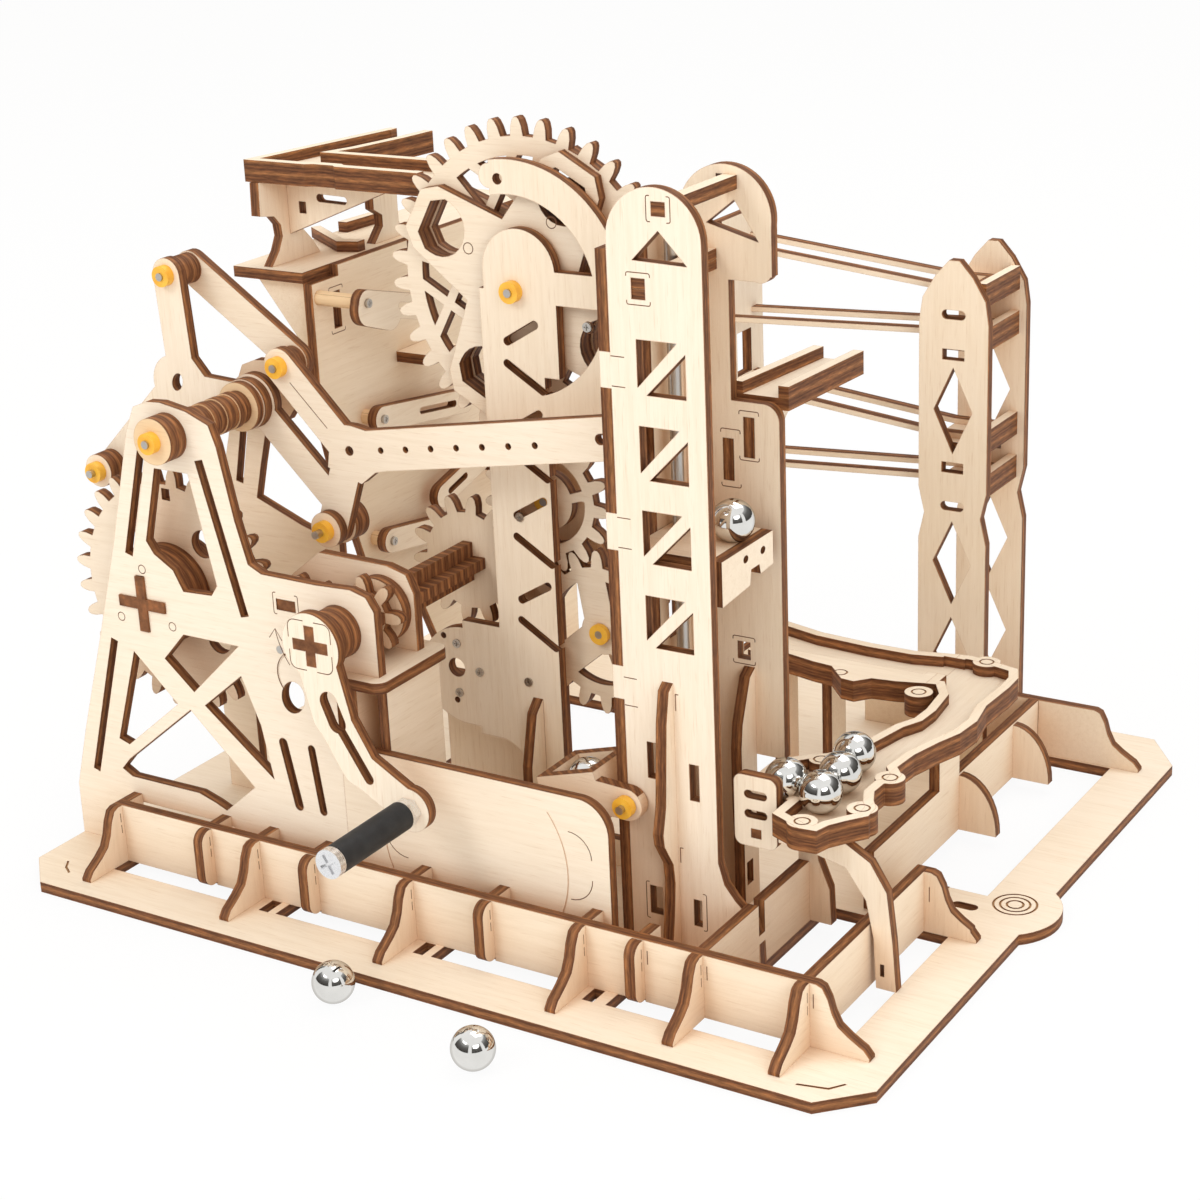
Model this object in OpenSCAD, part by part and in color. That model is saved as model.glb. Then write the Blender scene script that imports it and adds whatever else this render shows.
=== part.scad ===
// Wooden marble run, laser cut ply kit with a crank, geared lift wheel and lift tower
/* [Sheet] */
// Ply sheet thickness
ply = 2.8; // [2.4:0.1:3.2]
// Side clearance between a moving plate and its neighbour
gap = 0.3; // [0.2:0.05:0.6]
// Radial clearance of a turning part on its axle
fit = 0.06; // [0.03:0.01:0.1]
// Steel axle rod diameter
rod_d = 2; // [1.5:0.1:2.5]
// Plastic stop ring diameter
ring_d = 5.2; // [4.5:0.1:6]
// Plastic stop ring length
ring_t = 2.2; // [1.6:0.1:3]
/* [Balls] */
// Steel ball diameter
ball_d = 10; // [9:0.1:11]
/* [Base] */
// Base width along X
base_w = 236; // [220:1:250]
// Base depth along Y
base_d = 204; // [195:1:215]
// Width of the front, right and back strips
strip = 14; // [12:0.5:18]
// Width of the left strip
strip_left = 21.6; // [18:0.2:24]
// Corner cut size
corner = 10; // [6:0.5:14]
// Radius of the round bump on the right edge
bump_r = 15; // [13:0.5:16]
// Position of the bump centre along Y
bump_y = 97; // [92:0.5:102]
/* [Beams] */
// Height of the low beams
beam_h = 15.5; // [13:0.5:18]
// Front face of the front beam
beam_y = 19.4; // [18:0.2:21]
// Left end of the front beam
beam_x0 = 19.3; // [17:0.1:21]
// Run of an S shaped rib toe
toe = 14; // [10:0.5:16]
// Distance a rounded rib sticks out
half_toe = 4; // [3:0.25:6]
// Left face of the right outer beam
outer_x = 213; // [211:0.2:215]
// Left face of the inner beam
inner_x = 187.1; // [185:0.2:189]
// Left face of the rear right beam
rear_x = 198.5; // [196:0.2:200]
// Front face of the back beam
back_y = 181.7; // [179:0.2:184]
// Rear end of the outer beam
outer_y1 = 80; // [78:0.5:82]
/* [Frames] */
// Front face of the A frame
frame_y = 27; // [26:0.2:28]
// Front face of the second crank wall
inner_y = 44.5; // [43:0.1:46]
// Front face of the gear wall
wall_y = 73.5; // [72.5:0.1:75]
// Pivot of the swing lever, X
pivot_x = 44; // [42:0.2:46]
// Pivot of the swing lever, Z
pivot_z = 116; // [114:0.2:118]
// Crank axis, X
crank_x = 90.5; // [89:0.1:92]
// Crank axis, Z
crank_z = 74.5; // [73:0.1:76]
// Drive gear axis, X
drive_x = 29.9; // [29:0.1:31]
// Drive gear axis, Z
drive_z = 71.3; // [70:0.1:73]
// Top of the crank shelf
shelf_z = 64.5; // [63:0.1:66]
// Front panel right end
panel_x1 = 162; // [158:0.5:165]
// Front panel top
panel_z = 45; // [42:0.5:48]
/* [Gears] */
// Gear module
mod = 2.12; // [2.1:0.01:2.14]
// Lift wheel teeth
wheel_n = 35; // [35:1:35]
// Gear A teeth
gear_a_n = 15; // [15:1:15]
// Gear B teeth
gear_b_n = 18; // [18:1:18]
// Crank shaft rear gear teeth
rear_n = 14; // [14:1:14]
// Front pinion teeth
pinion_n = 7; // [7:1:7]
// Idler teeth
idler_n = 12; // [12:1:12]
// Drive gear teeth
drive_n = 28; // [28:1:28]
// Lift wheel axis, X
wheel_x = 112.8; // [112:0.1:113.5]
// Lift wheel axis, Z
wheel_z = 146.5; // [146:0.1:147]
// Outer radius of the wheel cover arc
cover_r1 = 30.7; // [29.5:0.1:32]
// Inner radius of the wheel cover arc
cover_r0 = 22.6; // [21.5:0.1:23.5]
// Outer radius of the wheel cover below its axis
skirt_r1 = 36.6; // [35:0.2:38]
// Inner radius of the wheel cover below its axis
skirt_r0 = 25.4; // [24:0.2:27]
// Side clearance of the lift wheel, so that its ball clears both walls
wheel_gap = 0.9; // [0.85:0.05:1.2]
/* [Crank] */
// Front face of the crank arm
crank_y = 16; // [15:0.2:17]
// Crank hub radius
hub_r = 8.1; // [7.5:0.1:9]
// Washer radius on the crank shaft
washer_r = 6.3; // [5.8:0.1:7]
// Crank throw along X
throw_x = 25; // [22:0.5:28]
// Crank throw down
throw_z = 36; // [33:0.5:39]
// Grip length
grip_l = 27; // [24:0.5:30]
// Thickness of the nut between arm and grip
nut_t = 3.2; // [2.4:0.1:3.6]
// Grip diameter
grip_d = 7; // [6:0.2:8]
/* [Tower] */
// Front face of the tower front plate
tower_y = 45; // [44:0.1:46]
// Front face of the tower back plate
tower_back_y = 76; // [75:0.1:77]
// Left face of the tower side plate
tower_x = 153.7; // [152.5:0.1:155]
// Width of the tower front plate
tower_w = 23.2; // [22:0.2:25]
// Tower height
tower_h = 180; // [175:1:185]
// Height of the bucket box
buck_h = 12; // [11.8:0.1:12.4]
// Tilt of the bucket at rest
buck_tilt = 16; // [14:0.5:18]
// Guide rod diameter
guide_d = 3; // [2.6:0.1:3.4]
// Left face of the inner brace
brace_x = 170.5; // [170:0.1:171]
// Top of the carriage
car_z = 97.8; // [94:0.2:102]
/* [Rail tower] */
// Front face of the rail tower front plate
rt_y0 = 165; // [163:0.5:167]
// Front face of the rail tower back plate
rt_y1 = 189.4; // [187:0.1:191]
// Middle of the rail tower along X
rt_x = 183.1; // [181:0.1:185]
// Half width of the rail tower
rt_w = 9.4; // [8.5:0.1:10]
// Top of the rail tower
rt_z = 140.3; // [138:0.1:143]
// Distance between the two strips of a rail
rail_cc = 12; // [11.5:0.1:13]
// Width of a rail strip
rail_w = 3; // [2.4:0.1:3.4]
/* [Tracks] */
// Top of the lower track floor
track_z = 40; // [38:0.1:42]
// Top of the upper left track floor
top_z = 166.8; // [164:0.1:169]
// Top of the left shelf
shelf2_z = 142; // [139:0.5:145]
// Right face of the flipper wall
flip_x = 44; // [42:0.2:46]

/* [Hidden] */
$fn = 40;
z0 = ply;
ox = base_w/2;
oy = strip/2;
rr = rod_d/2;
br = ball_d/2;
swing_y = frame_y+31.2;
rock_y = swing_y-ply-0.2;
link_y = swing_y+2*ply+0.2;
back_frame_y = link_y+ply+0.7;
drive_y = frame_y+ply+8.4;
gear_y = wall_y+2*ply+wheel_gap;
star_y = wall_y+ply+wheel_gap;
rear_y = gear_y+2*ply+wheel_gap;
pivot = [pivot_x, pivot_z];
crank = [crank_x, crank_z];
drive = [drive_x, drive_z];
wheel = [wheel_x, wheel_z];
function pr(n) = mod*n/2;
function meet(p, q, a, b, s) = let(d = q-p, l = norm(d), u = d/l, t = (a*a-b*b+l*l)/(2*l),
  h = sqrt(a*a-t*t)) p+u*t+s*h*[-u[1], u[0]];
gear_a = meet(wheel, crank, pr(wheel_n+gear_a_n), pr(gear_a_n+rear_n), 1);
gear_b = gear_a+pr(gear_a_n+gear_b_n)*[0.404, -0.9148];
idler = meet(crank, drive, pr(pinion_n+idler_n), pr(idler_n+drive_n), 1);
function dir(p, q) = atan2(q[1]-p[1], q[0]-p[0]);
function phase(p, q, np, a, nq) = dir(q, p)-360/nq*(0.5-(dir(p, q)-a)*np/360);
wheel_a = 61;
gear_a_a = phase(wheel, gear_a, wheel_n, wheel_a, gear_a_n);
gear_b_a = phase(gear_a, gear_b, gear_a_n, gear_a_a, gear_b_n);
rear_a = phase(gear_a, crank, gear_a_n, gear_a_a, rear_n);
idler_a = phase(crank, idler, pinion_n, 0, idler_n);
drive_a = phase(idler, drive, idler_n, idler_a, drive_n);
grip_at = [crank_x+throw_x, crank_z-throw_z];
flip_at = [[87.4, 135.4], [102.5, 100.1], [146, 76.5], [102.5, 66.4]];
flip_off = [12.4, 3.2, 3.2, 3.2];
buck = [157.9, 37.9];
buck_top = [149.1, 44.4];
wood = [0.87, 0.74, 0.55];
steel = [0.75, 0.75, 0.76];
black = [0.1, 0.1, 0.1];
yellow = [0.95, 0.7, 0.15];

// Placing helpers
module at() { translate([-ox, -oy, 0]) children(); }
module xz(y, t = ply) { translate([0, y+t, 0]) rotate([90, 0, 0]) linear_extrude(t) children(); }
module yz(x, t = ply) { translate([x, 0, 0]) rotate([90, 0, 90]) linear_extrude(t) children(); }
module xy(z, t = ply) { translate([0, 0, z]) linear_extrude(t) children(); }
module box(a, b) { translate(a) cube(b-a); }
module rect(a, b) { translate(a) square(b-a); }
function fan(c, r, a0, a1) = [for (i = [0:12]) c+r*[cos(a0+(a1-a0)*i/12), sin(a0+(a1-a0)*i/12)]];
module cap(a, b, w) {
  t = atan2(b[1]-a[1], b[0]-a[0]);
  polygon(concat(fan(b, w/2, t-90, t+90), fan(a, w/2, t+90, t+270)));
}
module bar(a, b, w) {
  n = w/2/norm(b-a)*[a[1]-b[1], b[0]-a[0]];
  polygon([a+n, a-n, b-n, b+n]);
}
module rrect(a, b, r) {
  rect([a[0]+r, a[1]], [b[0]-r, b[1]]);
  rect([a[0], a[1]+r], [b[0], b[1]-r]);
  for (x = [a[0]+r, b[0]-r], y = [a[1]+r, b[1]-r]) translate([x, y]) circle(r);
}
module ring2(r1, r0) { difference() { circle(r1); circle(r0); } }
module rod(p, y0, y1, r) { translate([p[0], y1, p[1]]) rotate([90, 0, 0]) cylinder(y1-y0, r = r); }
module collar(p, y0, y1, r, b) {
  xz(y0, y1-y0) translate(p) ring2(r, b);
}
module gear2(n, a, bore) {
  rp = pr(n);
  s = 360/n;
  difference() {
    polygon([for (i = [0:n-1]) for (k = [[-0.28, -1.05], [-0.22, 0], [-0.14, 0.68], [-0.055, 0.98],
      [0.055, 0.98], [0.14, 0.68], [0.22, 0], [0.28, -1.05]])
      (rp+k[1]*mod)*[cos(a+(i+k[0])*s), sin(a+(i+k[0])*s)]]);
    circle(bore);
  }
}

// Base and low beams
module base_plate() color(wood) at() difference() {
  union() {
    xy(0) difference() {
      polygon([[corner, 0], [base_w-corner, 0], [base_w, corner], [base_w, base_d-corner-4],
        [base_w-corner, base_d], [corner, base_d], [0, base_d-corner], [0, corner]]);
      for (w = [[strip_left, 63.2], [74, 109.1], [120, 156.6], [167.6, outer_x-0.4]])
        rect([w[0], strip], [w[1], 24]);
      rect([190, 24], [base_w-strip, bump_y-19]);
      rect([190, bump_y+3], [base_w-strip, back_y-0.5]);
      rect([60, 105], [140, 160]);
      for (x = [69, 115, 161.6]) rect([x, strip-0.3], [x+ply, 19.2]);
      cap([base_w-strip-4.5, 93], [base_w-strip-1, 93], 3);
    }
    xy(0) translate([base_w-bump_r+5.2, bump_y]) intersection() {
      circle(bump_r);
      rect([bump_r-5.4, -bump_r], [bump_r, bump_r]);
    }
  }
  xy(ply-0.3, 1) {
    translate([base_w-6.5, bump_y+2]) for (r = [5.4, 3.8, 2.2]) ring2(r, r-0.5);
    translate([10, 9]) polygon([[-2, 3], [0, 0], [3, -2], [3, -1.4], [0.4, 0.4], [-1.4, 3]]);
    translate([base_w-12, 6]) polygon([[-4, -1.5], [3, 0], [5.5, 3.5], [4.9, 3.6], [2.6, 0.6],
      [-4, -0.9]]);
  }
}
module toe2(h, l) {
  polygon([[0, 0], [l+0.2, 0], [l+0.2, h], [l-1.5, h], [l-3, h*0.96], [l-4.3, h*0.8],
    [l-5.2, h*0.6], [l-6.6, h*0.42], [l-9, h*0.3], [l-11.5, h*0.2], [1.4, h*0.16], [0, h*0.05]]);
}
module rib2(y0, y1, h) {
  difference() {
    union() {
      translate([y0, z0]) toe2(h, toe);
      rect([y0+toe, z0], [y1, z0+h]);
    }
    rect([beam_y, z0+h/2], [beam_y+ply, z0+h+1]);
  }
}
rib_x = [beam_x0, 63.6, 109.5, 157];
half_x = [48.5, 81, 131.7, 172];
module front_beam() color(wood) at() difference() {
  xz(beam_y) {
    rect([beam_x0, z0], [outer_x+ply, z0+beam_h]);
    translate([outer_x+ply+toe, z0]) mirror([1, 0]) toe2(beam_h, toe);
  }
  for (x = concat(rib_x, half_x, [inner_x, outer_x]))
    box([x, beam_y-1, z0-1], [x+ply, beam_y+ply+1, z0+beam_h/2]);
}
module front_ribs() color(wood) at() for (x = rib_x) yz(x) rib2(beam_y-toe, frame_y, beam_h);
half_w = half_toe/2+1;
half_y = beam_y-half_toe+half_w;
module half_ribs() for (x = half_x) yz(x) difference() {
  union() {
    cap([half_y, z0+0.6+half_w], [half_y, z0+beam_h-half_w], 2*half_w);
    rect([beam_y, z0+0.6], [frame_y, z0+beam_h]);
  }
  rect([beam_y, z0+beam_h/2], [beam_y+ply, z0+beam_h+1]);
}
module right_beam_outer() color(wood) at() yz(outer_x) {
  rib2(beam_y-toe, outer_y1, beam_h);
  polygon([[outer_y1-0.1, z0], [92, z0], [92, 7.5], [88, 7.5], [88, 11], [84, 11], [84, 14.5],
    [outer_y1-0.1, 16]]);
}
module inner_beam() yz(inner_x) difference() {
  rib2(beam_y-toe, 70, beam_h);
  rect([tower_y, z0+beam_h/2], [tower_y+ply, z0+beam_h+1]);
}
module rear_beam() yz(rear_x) {
  rect([outer_y1+1, z0], [back_y, z0+beam_h]);
  rect([118, z0], [130, track_z-ply]);
}
module inner_beams() color(wood) at() {
  inner_beam();
  rear_beam();
  back_beam();
}
module back_beam() xz(back_y) {
  rect([150, z0], [rear_x+ply, z0+beam_h]);
  rect([rear_x, z0], [rear_x+17, z0+beam_h]);
  translate([rear_x+31, z0]) mirror([1, 0]) toe2(beam_h, toe);
}
module side_ribs() {
  xz(outer_y1-ply) translate([outer_x+ply+toe-0.8, z0]) mirror([1, 0]) toe2(beam_h, toe-1);
  for (y = [129.8, 164.4]) xz(y) translate([rear_x+ply, z0])
    polygon(concat([[0, 0]], [for (a = [0:9:90]) [10.1*cos(a), (beam_h-0.5)*sin(a)]]));
}
module tray_leg() color(wood) at() {
  xz(48.5) difference() {
      polygon([[222.3, z0], [217.4, z0], [216.8, 15], [215, 24], [210, 31], [200, 33.2],
        [193.4, 33.4], [193.4, track_z-ply], [209.5, track_z-ply], [216, 33.5], [220, 27],
        [221.4, 15]]);
      rect([218.4, 6], [219.4, 9]);
  }
  box([186.3, 49.2, 33], [188.7, 69.99, 35.1]);
  xz(70) polygon([[inner_x, z0], [inner_x+ply+5.6, z0], [inner_x+ply+5.2, 12],
    [inner_x+ply+2.4, 19], [inner_x+ply+1, 30], [inner_x+ply+5, track_z-ply],
    [inner_x, track_z-ply]]);
}
module short_ribs() color(wood) at() {
  half_ribs();
  side_ribs();
}
// Front frame with the panel
module frame2() {
  difference() {
    polygon([[0, z0], [0.2, 16.8], [5.1, 33.1], [14.3, 60.5], [22.6, 86.6], [30.8, 115.5],
      [33.8, 121.9], [38, 123.6], [42.4, 123.9], [50, 122.6], [56.6, 120], [58.4, 115],
      [61.9, 97.1], [64.7, 86.8], [68.5, 85], [84.4, 84.8], [94.5, 85.2], [98.9, 84],
      [101, 80.7], [101.1, shelf_z], [88, shelf_z], [88, z0], [62, z0], [61, 9], [58, 13.5],
      [50, 16], [22, 16], [16.5, 12.6], [13.6, z0]]);
    bar([34.8, 111], [27.1, 83.7], 2.4);
    polygon([[38.4, 107.2], [33.2, 88.1], [35.3, 85], [40.8, 81.7], [43.5, 76.6], [52.4, 77],
      [54.4, 79.8], [48.8, 107.2]]);
    bar([52.6, 111], [62.2, 73.2], 2.5);
    bar([18.9, 60], [7.3, 22], 2.2);
    polygon([[25, 57.9], [37.7, 46], [19.8, 31.6], [16.5, 32.6]]);
    polygon([[42, 65.2], [35, 57.7], [43.5, 50.3], [59.2, 65.1]]);
    polygon([[46.5, 47.3], [59.1, 57.4], [63.9, 45.3], [66.5, 31.5]]);
    polygon([[16.4, 24.3], [19.3, 27.5], [41.6, 45.2], [60, 28], [50.1, 19.6], [46.7, 21],
      [41.5, 22.6], [19.5, 22.6]]);
    translate([74.8, 54.7]) rotate(-20) scale([1, 1.25]) circle(3.4);
    cap([70.4, 42], [73.6, 26], 2.6);
    cap([79, 42], [81, 26], 2.2);
    translate(drive) cross2(7.3, ply);
    rect([72.3, 76.8], [78, 79.6]);
    translate(pivot) circle(rr);
    translate(crank) circle(washer_r+fit);
    translate(idler) circle(rr);
  }
}
module cross2(a, w) { rect([-a, -w/2], [a, w/2]); rect([-w/2, -a], [w/2, a]); }
module front_frame() color(wood) at() difference() {
  xz(frame_y) frame2();
  xz(frame_y-1, 1.25) translate([77, 60.5]) difference() {
    ring2(6.4, 5.9);
    rect([0, -7], [7, 7]);
  }
}
module front_panel() color(wood) at() difference() {
  xz(frame_y) difference() {
    union() {
      rrect([100, z0], [panel_x1, panel_z], 8);
      rect([88, z0], [110, panel_z]);
      rect([150, z0], [panel_x1, 14]);
    }
    cap([99, 12], [99, 12.1], 2);
  }
  xz(frame_y-1, 1.25) for (s = [0, 1]) translate([125, 25]) mirror([s, 0])
    intersection() { ring2(26, 25.6); rect([20, -15], [27, 15]); }
}
module inner_frame() color(wood) at() {
  xz(inner_y) difference() {
    polygon([[61, shelf_z], [61, 76], [63.6, 78.7], [72, 85.3], [92, 85], [97.5, 83.5],
      [99.5, 79], [99.5, shelf_z]]);
    translate(crank) circle(washer_r+fit);
    translate(idler) circle(rr);
  }
  xz(back_frame_y) difference() {
    polygon([[16, z0], [16, 60.5], [22.6, 86.6], [30.8, 115.5], [33.8, 121.9], [38, 123.6],
      [44, 124], [50, 121.4], [51.4, 115], [47, 109], [40.2, 108], [36.8, 96], [34.5, 87],
      [48, 81.7], [60, 78], [60, 66], [40, 60], [27, 50], [27, z0]]);
    bar([32.3, 104.5], [29.3, 90.5], 2.3);
    translate(pivot) circle(rr);
  }
}
module crank_shelf() color(wood) at() {
  for (x = [89, 98]) yz(x) rect([frame_y+ply, z0], [51, shelf_z-ply-0.01]);
  xy(shelf_z-ply) difference() {
    rrect([88, frame_y-3.4], [104, 51.5], 3);
    rect([60, frame_y-4], [88, frame_y+ply]);
  }
}
module cross_axle() color(wood) at() {
  xz(frame_y-0.6, 24.3) translate(drive) {
    rect([-7.3, -ply/2], [7.3, ply/2]);
  }
  for (s = [-1, 1]) xz(frame_y-0.6, 24.3) translate(drive) translate([0, s*(ply/2+2.9)])
    rect([-ply/2, -2.9], [ply/2, 2.9]);
  for (d = [[frame_y+ply+gap, drive_y-gap, 12.4], [drive_y-gap, drive_y+ply+gap, 11],
    [drive_y+ply+gap, drive_y+2*ply+gap, 13]]) xz(d[0], d[1]-d[0]) translate(drive) difference() {
    circle(d[2]);
    cross2(7.3, ply);
  }
}
module spool() color(wood) at() {
  collar(pivot, frame_y-2*ply, frame_y, 5.7, rr);
  collar(idler, frame_y+ply, drive_y-gap, 4, rr);
  collar(idler, drive_y+ply+gap, inner_y, 4, rr);
  for (p = [gear_a, gear_b]) collar(p, gear_y+ply+gap, rear_y, 4, rr);
  collar(pivot, frame_y+ply+23, rock_y-gap, 6.2, rr);
  for (i = [0:3]) yz(flip_x, flip_off[i]-gap) translate(flip_at[i]) ring2(1.9, rr);
  box([72.3, frame_y+0.3, 76.8], [78, 33, 79.6]);
  for (i = [0:9]) collar(pivot, frame_y+ply+i*2.3, frame_y+ply+i*2.3+2.3, i%2 == 0 ? 4.6 : 4.2, rr);
}
// Gear walls behind
module gear_wall() color(wood) at() {
  wall_plate();
  yz(112.2) polygon([[wall_y-0.01, z0], [wall_y-0.01, 44], [70.4, 41], [67.2, 28], [66.4, z0]]);
}
module wall_plate() xz(wall_y) difference() {
  union() {
    rect([103.2, z0], [120.4, wheel_z]);
    translate(wheel+[1.7, 4.8]) circle(10);
    rect([wheel_x-8.3, wheel_z-20], [wheel_x+11.7, wheel_z+4.8]);
    difference() {
      translate(wheel) circle(cover_r1);
      translate(wheel) circle(cover_r0);
      rect([wheel_x-50, wheel_z-50], [wheel_x-5, wheel_z+50]);
      rect([wheel_x-8, wheel_z-50], [wheel_x+50, wheel_z]);
    }
    translate(wheel+[-5, 26.6]) circle(2.9);
    difference() {
      translate(wheel) circle(skirt_r1);
      translate(wheel) circle(skirt_r0);
      rect([wheel_x-50, wheel_z-50], [wheel_x+1, wheel_z+50]);
      rect([wheel_x-8, wheel_z], [wheel_x+50, wheel_z+50]);
    }
    rect([wheel_x, wheel_z-2.4], [wheel_x+skirt_r0+1, wheel_z+5.4]);
    rect([wheel_x+26, wheel_z-19], [tower_x, wheel_z+12]);
    translate([92, 46]) circle(13);
    rect([92, 33], [106, 61]);
    rect([96, 31], [106, 40]);
    rect([103.2, z0], [tower_x, 22]);
  }
  for (k = [0:3]) translate(wheel+[0, -21.6*k]) {
    cap([-2.4, -12.2], [5.4, -7.6], 2.1);
    cap([-2.8, -17.6], [6.8, -23.4], 2);
  }
  translate([89.5, 47.9]) circle(2.5);
  translate([102, 24]) circle(7);
  translate(wheel+[-2.7, 26]) circle(1.3);
  translate(wheel) circle(rr);
  for (k = [0, 1]) translate([86+k*3, 56-k*17]) circle(0.8);
  rect([124, 10], [148, 16]);
}
module rear_wall() color(wood) at() xz(rear_y) difference() {
  union() {
    rect([96.5, z0], [112.5, wheel_z]);
    rect([76, z0], [100, 40]);
    translate(wheel) circle(8);
    translate(gear_a) circle(8.5);
    cap(gear_a, gear_b, 11);
    cap(crank, [104, crank_z], 16);
    rect([130, z0], [140, 44]);
    cap([gear_b[0], gear_b[1]], [135, 44], 10);
  }
  for (p = [wheel, gear_a, gear_b]) translate(p) circle(rr);
  translate(crank) circle(washer_r+fit);
}
module fixed_rods() color(steel) at() {
  rod(pivot, frame_y-2*ply-ring_t-0.6, back_frame_y+ply, rr);
  rod(buck, tower_y-2*ply-1, tower_y+ply, rr);
  for (i = [0:3]) translate([flip_x-ply, flip_at[i][0], flip_at[i][1]]) rotate([0, 90, 0])
    cylinder(2*ply+flip_off[i]+0.6, r = rr);
  rod(wheel, wall_y-ring_t-0.5, rear_y+ply, rr);
  rod(gear_a, gear_y-1.5, rear_y+ply, rr);
  rod(gear_b, gear_y-1.5, rear_y+ply, rr);
  rod(idler, frame_y, inner_y+ply, rr);
  translate([160, 66, z0]) cylinder(tower_h-12-z0, d = guide_d);
}
// Lift tower
tab_z = [[135.5, 143.6], [98.4, 107], [62.7, 70.8]];
track_tab = [166.2, 171.6];
module tower_front() color(wood) at() xz(tower_y) difference() {
  union() {
    translate([tower_x+ply+tower_w/2, tower_h-tower_w/2]) circle(tower_w/2);
    rect([tower_x+ply, z0], [tower_x+ply+tower_w, tower_h-tower_w/2]);
    for (t = tab_z) rect([tower_x, t[0]], [tower_x+ply+1, t[1]]);
    polygon([[179, z0], [190.2, z0], [190, 8], [188.6, 13.6], [183.9, 18], [181.2, 21.4],
      [179.6, 27], [179, 27]]);
  }
  for (z = [134.9, 115.7, 96.5, 76.7]) translate([163.1, z]) {
    polygon([[0, 12.2], [0, 1.5], [10, 12.2]]);
    polygon([[2.2, 0], [12, 0], [12, 10]]);
  }
  polygon([[162.8, tower_h-15.8], [176.2, tower_h-16.2], [169.4, tower_h-9.1]]);
  rect([167.9, tower_h-6.1], [171.3, tower_h-3]);
  rect([162.4, tower_h-24.2], [165.8, tower_h-19.6]);
  rect([162, 44.4], [165.8, 53.4]);
  rect([172.9, 41], [175.4, 50]);
  rect([161.4, 9.8], [164.8, 17]);
  rect([173, 9.2], [175.2, 16]);
  rect([inner_x, z0], [inner_x+ply, z0+beam_h/2]);
  translate([157.9, 37.9]) circle(rr);
}
module tower_back() color(wood) at() xz(tower_back_y) difference() {
  union() {
    rect([tower_x+ply, z0], [168.6, tower_h-12.4]);
    translate([168, tower_h-12.4]) circle(11.6);
    rect([160, tower_h-25], [179.5, tower_h-12]);
    translate([176.5, tower_h-23.6]) circle(3);
    rect([160, tower_h-26.4], [176.5, tower_h-23]);
    rect([160, 40], [180.7, 122]);
    translate([176.7, 122]) circle(4);
    rect([160, 120], [176.7, 126]);
    rect([160, z0], [170, 60]);
  }
  polygon([[163.4, tower_h-14], [176.4, tower_h-17.5], [170.5, tower_h-8.5]]);
  rect([track_tab[1], 113], [track_tab[1]+ply, 122.5]);
  rect([track_tab[0], 107], [track_tab[0]+ply, 117]);
  rect([168.8, 63.6], [172.2, 68]);
  rect([166.1, tower_h-6.1], [169.5, tower_h-3]);
}
module tower_side() color(wood) at() yz(tower_x) difference() {
  rect([tower_y, z0], [tower_back_y+ply, tower_h-14]);
  for (t = tab_z) rect([tower_y-1, t[0]], [tower_y+ply, t[1]]);
  rect([swing_y-1, 55], [swing_y+ply+1, tower_h-10]);
  rect([66, 70], [72, 95]);
}
module tower_braces() color(wood) at() {
  box([167.9, tower_y, tower_h-6.1], [171.3, tower_back_y, tower_h-3]);
  for (z = [24.2, 21.8]) box([162.4, tower_y+0.3, tower_h-z], [165.8, tower_back_y-0.01, tower_h-z+2.2]);
  yz(166.6) difference() {
    polygon([[tower_y, z0], [41, z0], [42.4, 12], [43.2, 20], [42.6, 25], [39, 31], [38.6, 34],
      [40.2, 40.5], [41.6, 60], [43, 67.5], [tower_y, 69]]);
  }
  yz(brace_x) difference() {
    polygon([[tower_back_y, z0], [tower_back_y, 62], [73.4, 60.4], [69.4, 50], [68.6, 44],
      [68.6, 30], [69, 22], [69, z0]]);
    rect([70, 8], [73, 14]);
  }
}
module gate_plate() color(wood) at() xz(49) difference() {
  rrect([182, 30.7], [192.8, 48.2], 2);
  for (z = [38.8, 43.6]) cap([185.6, z], [189.4, z], 2);
  rect([186.2, 32.9], [188.8, 35.2]);
}
// Rail tower and rails
shelf_at = [131.3, 119.6, 92.6, 80.8];
slope = [-0.10, 0.045, -0.11, 0.058];
module rt2() difference() {
  polygon([[rt_x-rt_w, z0], [rt_x-rt_w, 66], [rt_x-rt_w+1.6, 73], [rt_x-rt_w, 80],
    [rt_x-rt_w, 124], [rt_x-rt_w+0.9, 130], [rt_x-5, 135.8], [rt_x-1.4, rt_z-0.5], [rt_x+1.4, rt_z-0.5],
    [rt_x+5, 135.8], [rt_x+rt_w-0.9, 130], [rt_x+rt_w, 124], [rt_x+rt_w, 80],
    [rt_x+rt_w-1.6, 73], [rt_x+rt_w, 66], [rt_x+rt_w, z0]]);
  for (z = [101, 60, 33.6]) polygon([[rt_x, z+11.4], [rt_x+5.3, z], [rt_x, z-11.4], [rt_x-5.3, z]]);
  for (z = [126, 75.5]) cap([rt_x-2, z], [rt_x+2, z], 2.4);
  for (z = [115.7, 85.9]) rect([rt_x-3, z-1.4], [rt_x+3, z+1.4]);
  rect([rt_x-4, 8], [rt_x+4, 16]);
}
module rail_tower() color(wood) at() for (y = [rt_y0, rt_y1]) xz(y) rt2();
module rail_shelves() color(wood) at() for (i = [0:3]) {
  box([rt_x-7.5, rt_y0+ply, shelf_at[i]-ply-0.7], [rt_x+7.5, rt_y1, shelf_at[i]-0.7]);
  box([rt_x+5.1, rt_y0+ply, shelf_at[i]-0.69], [rt_x+7.5, rt_y1, shelf_at[i]+2.6]);
}
post_x = 113;
rail_y = (rt_y0+ply+rt_y1)/2;
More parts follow.
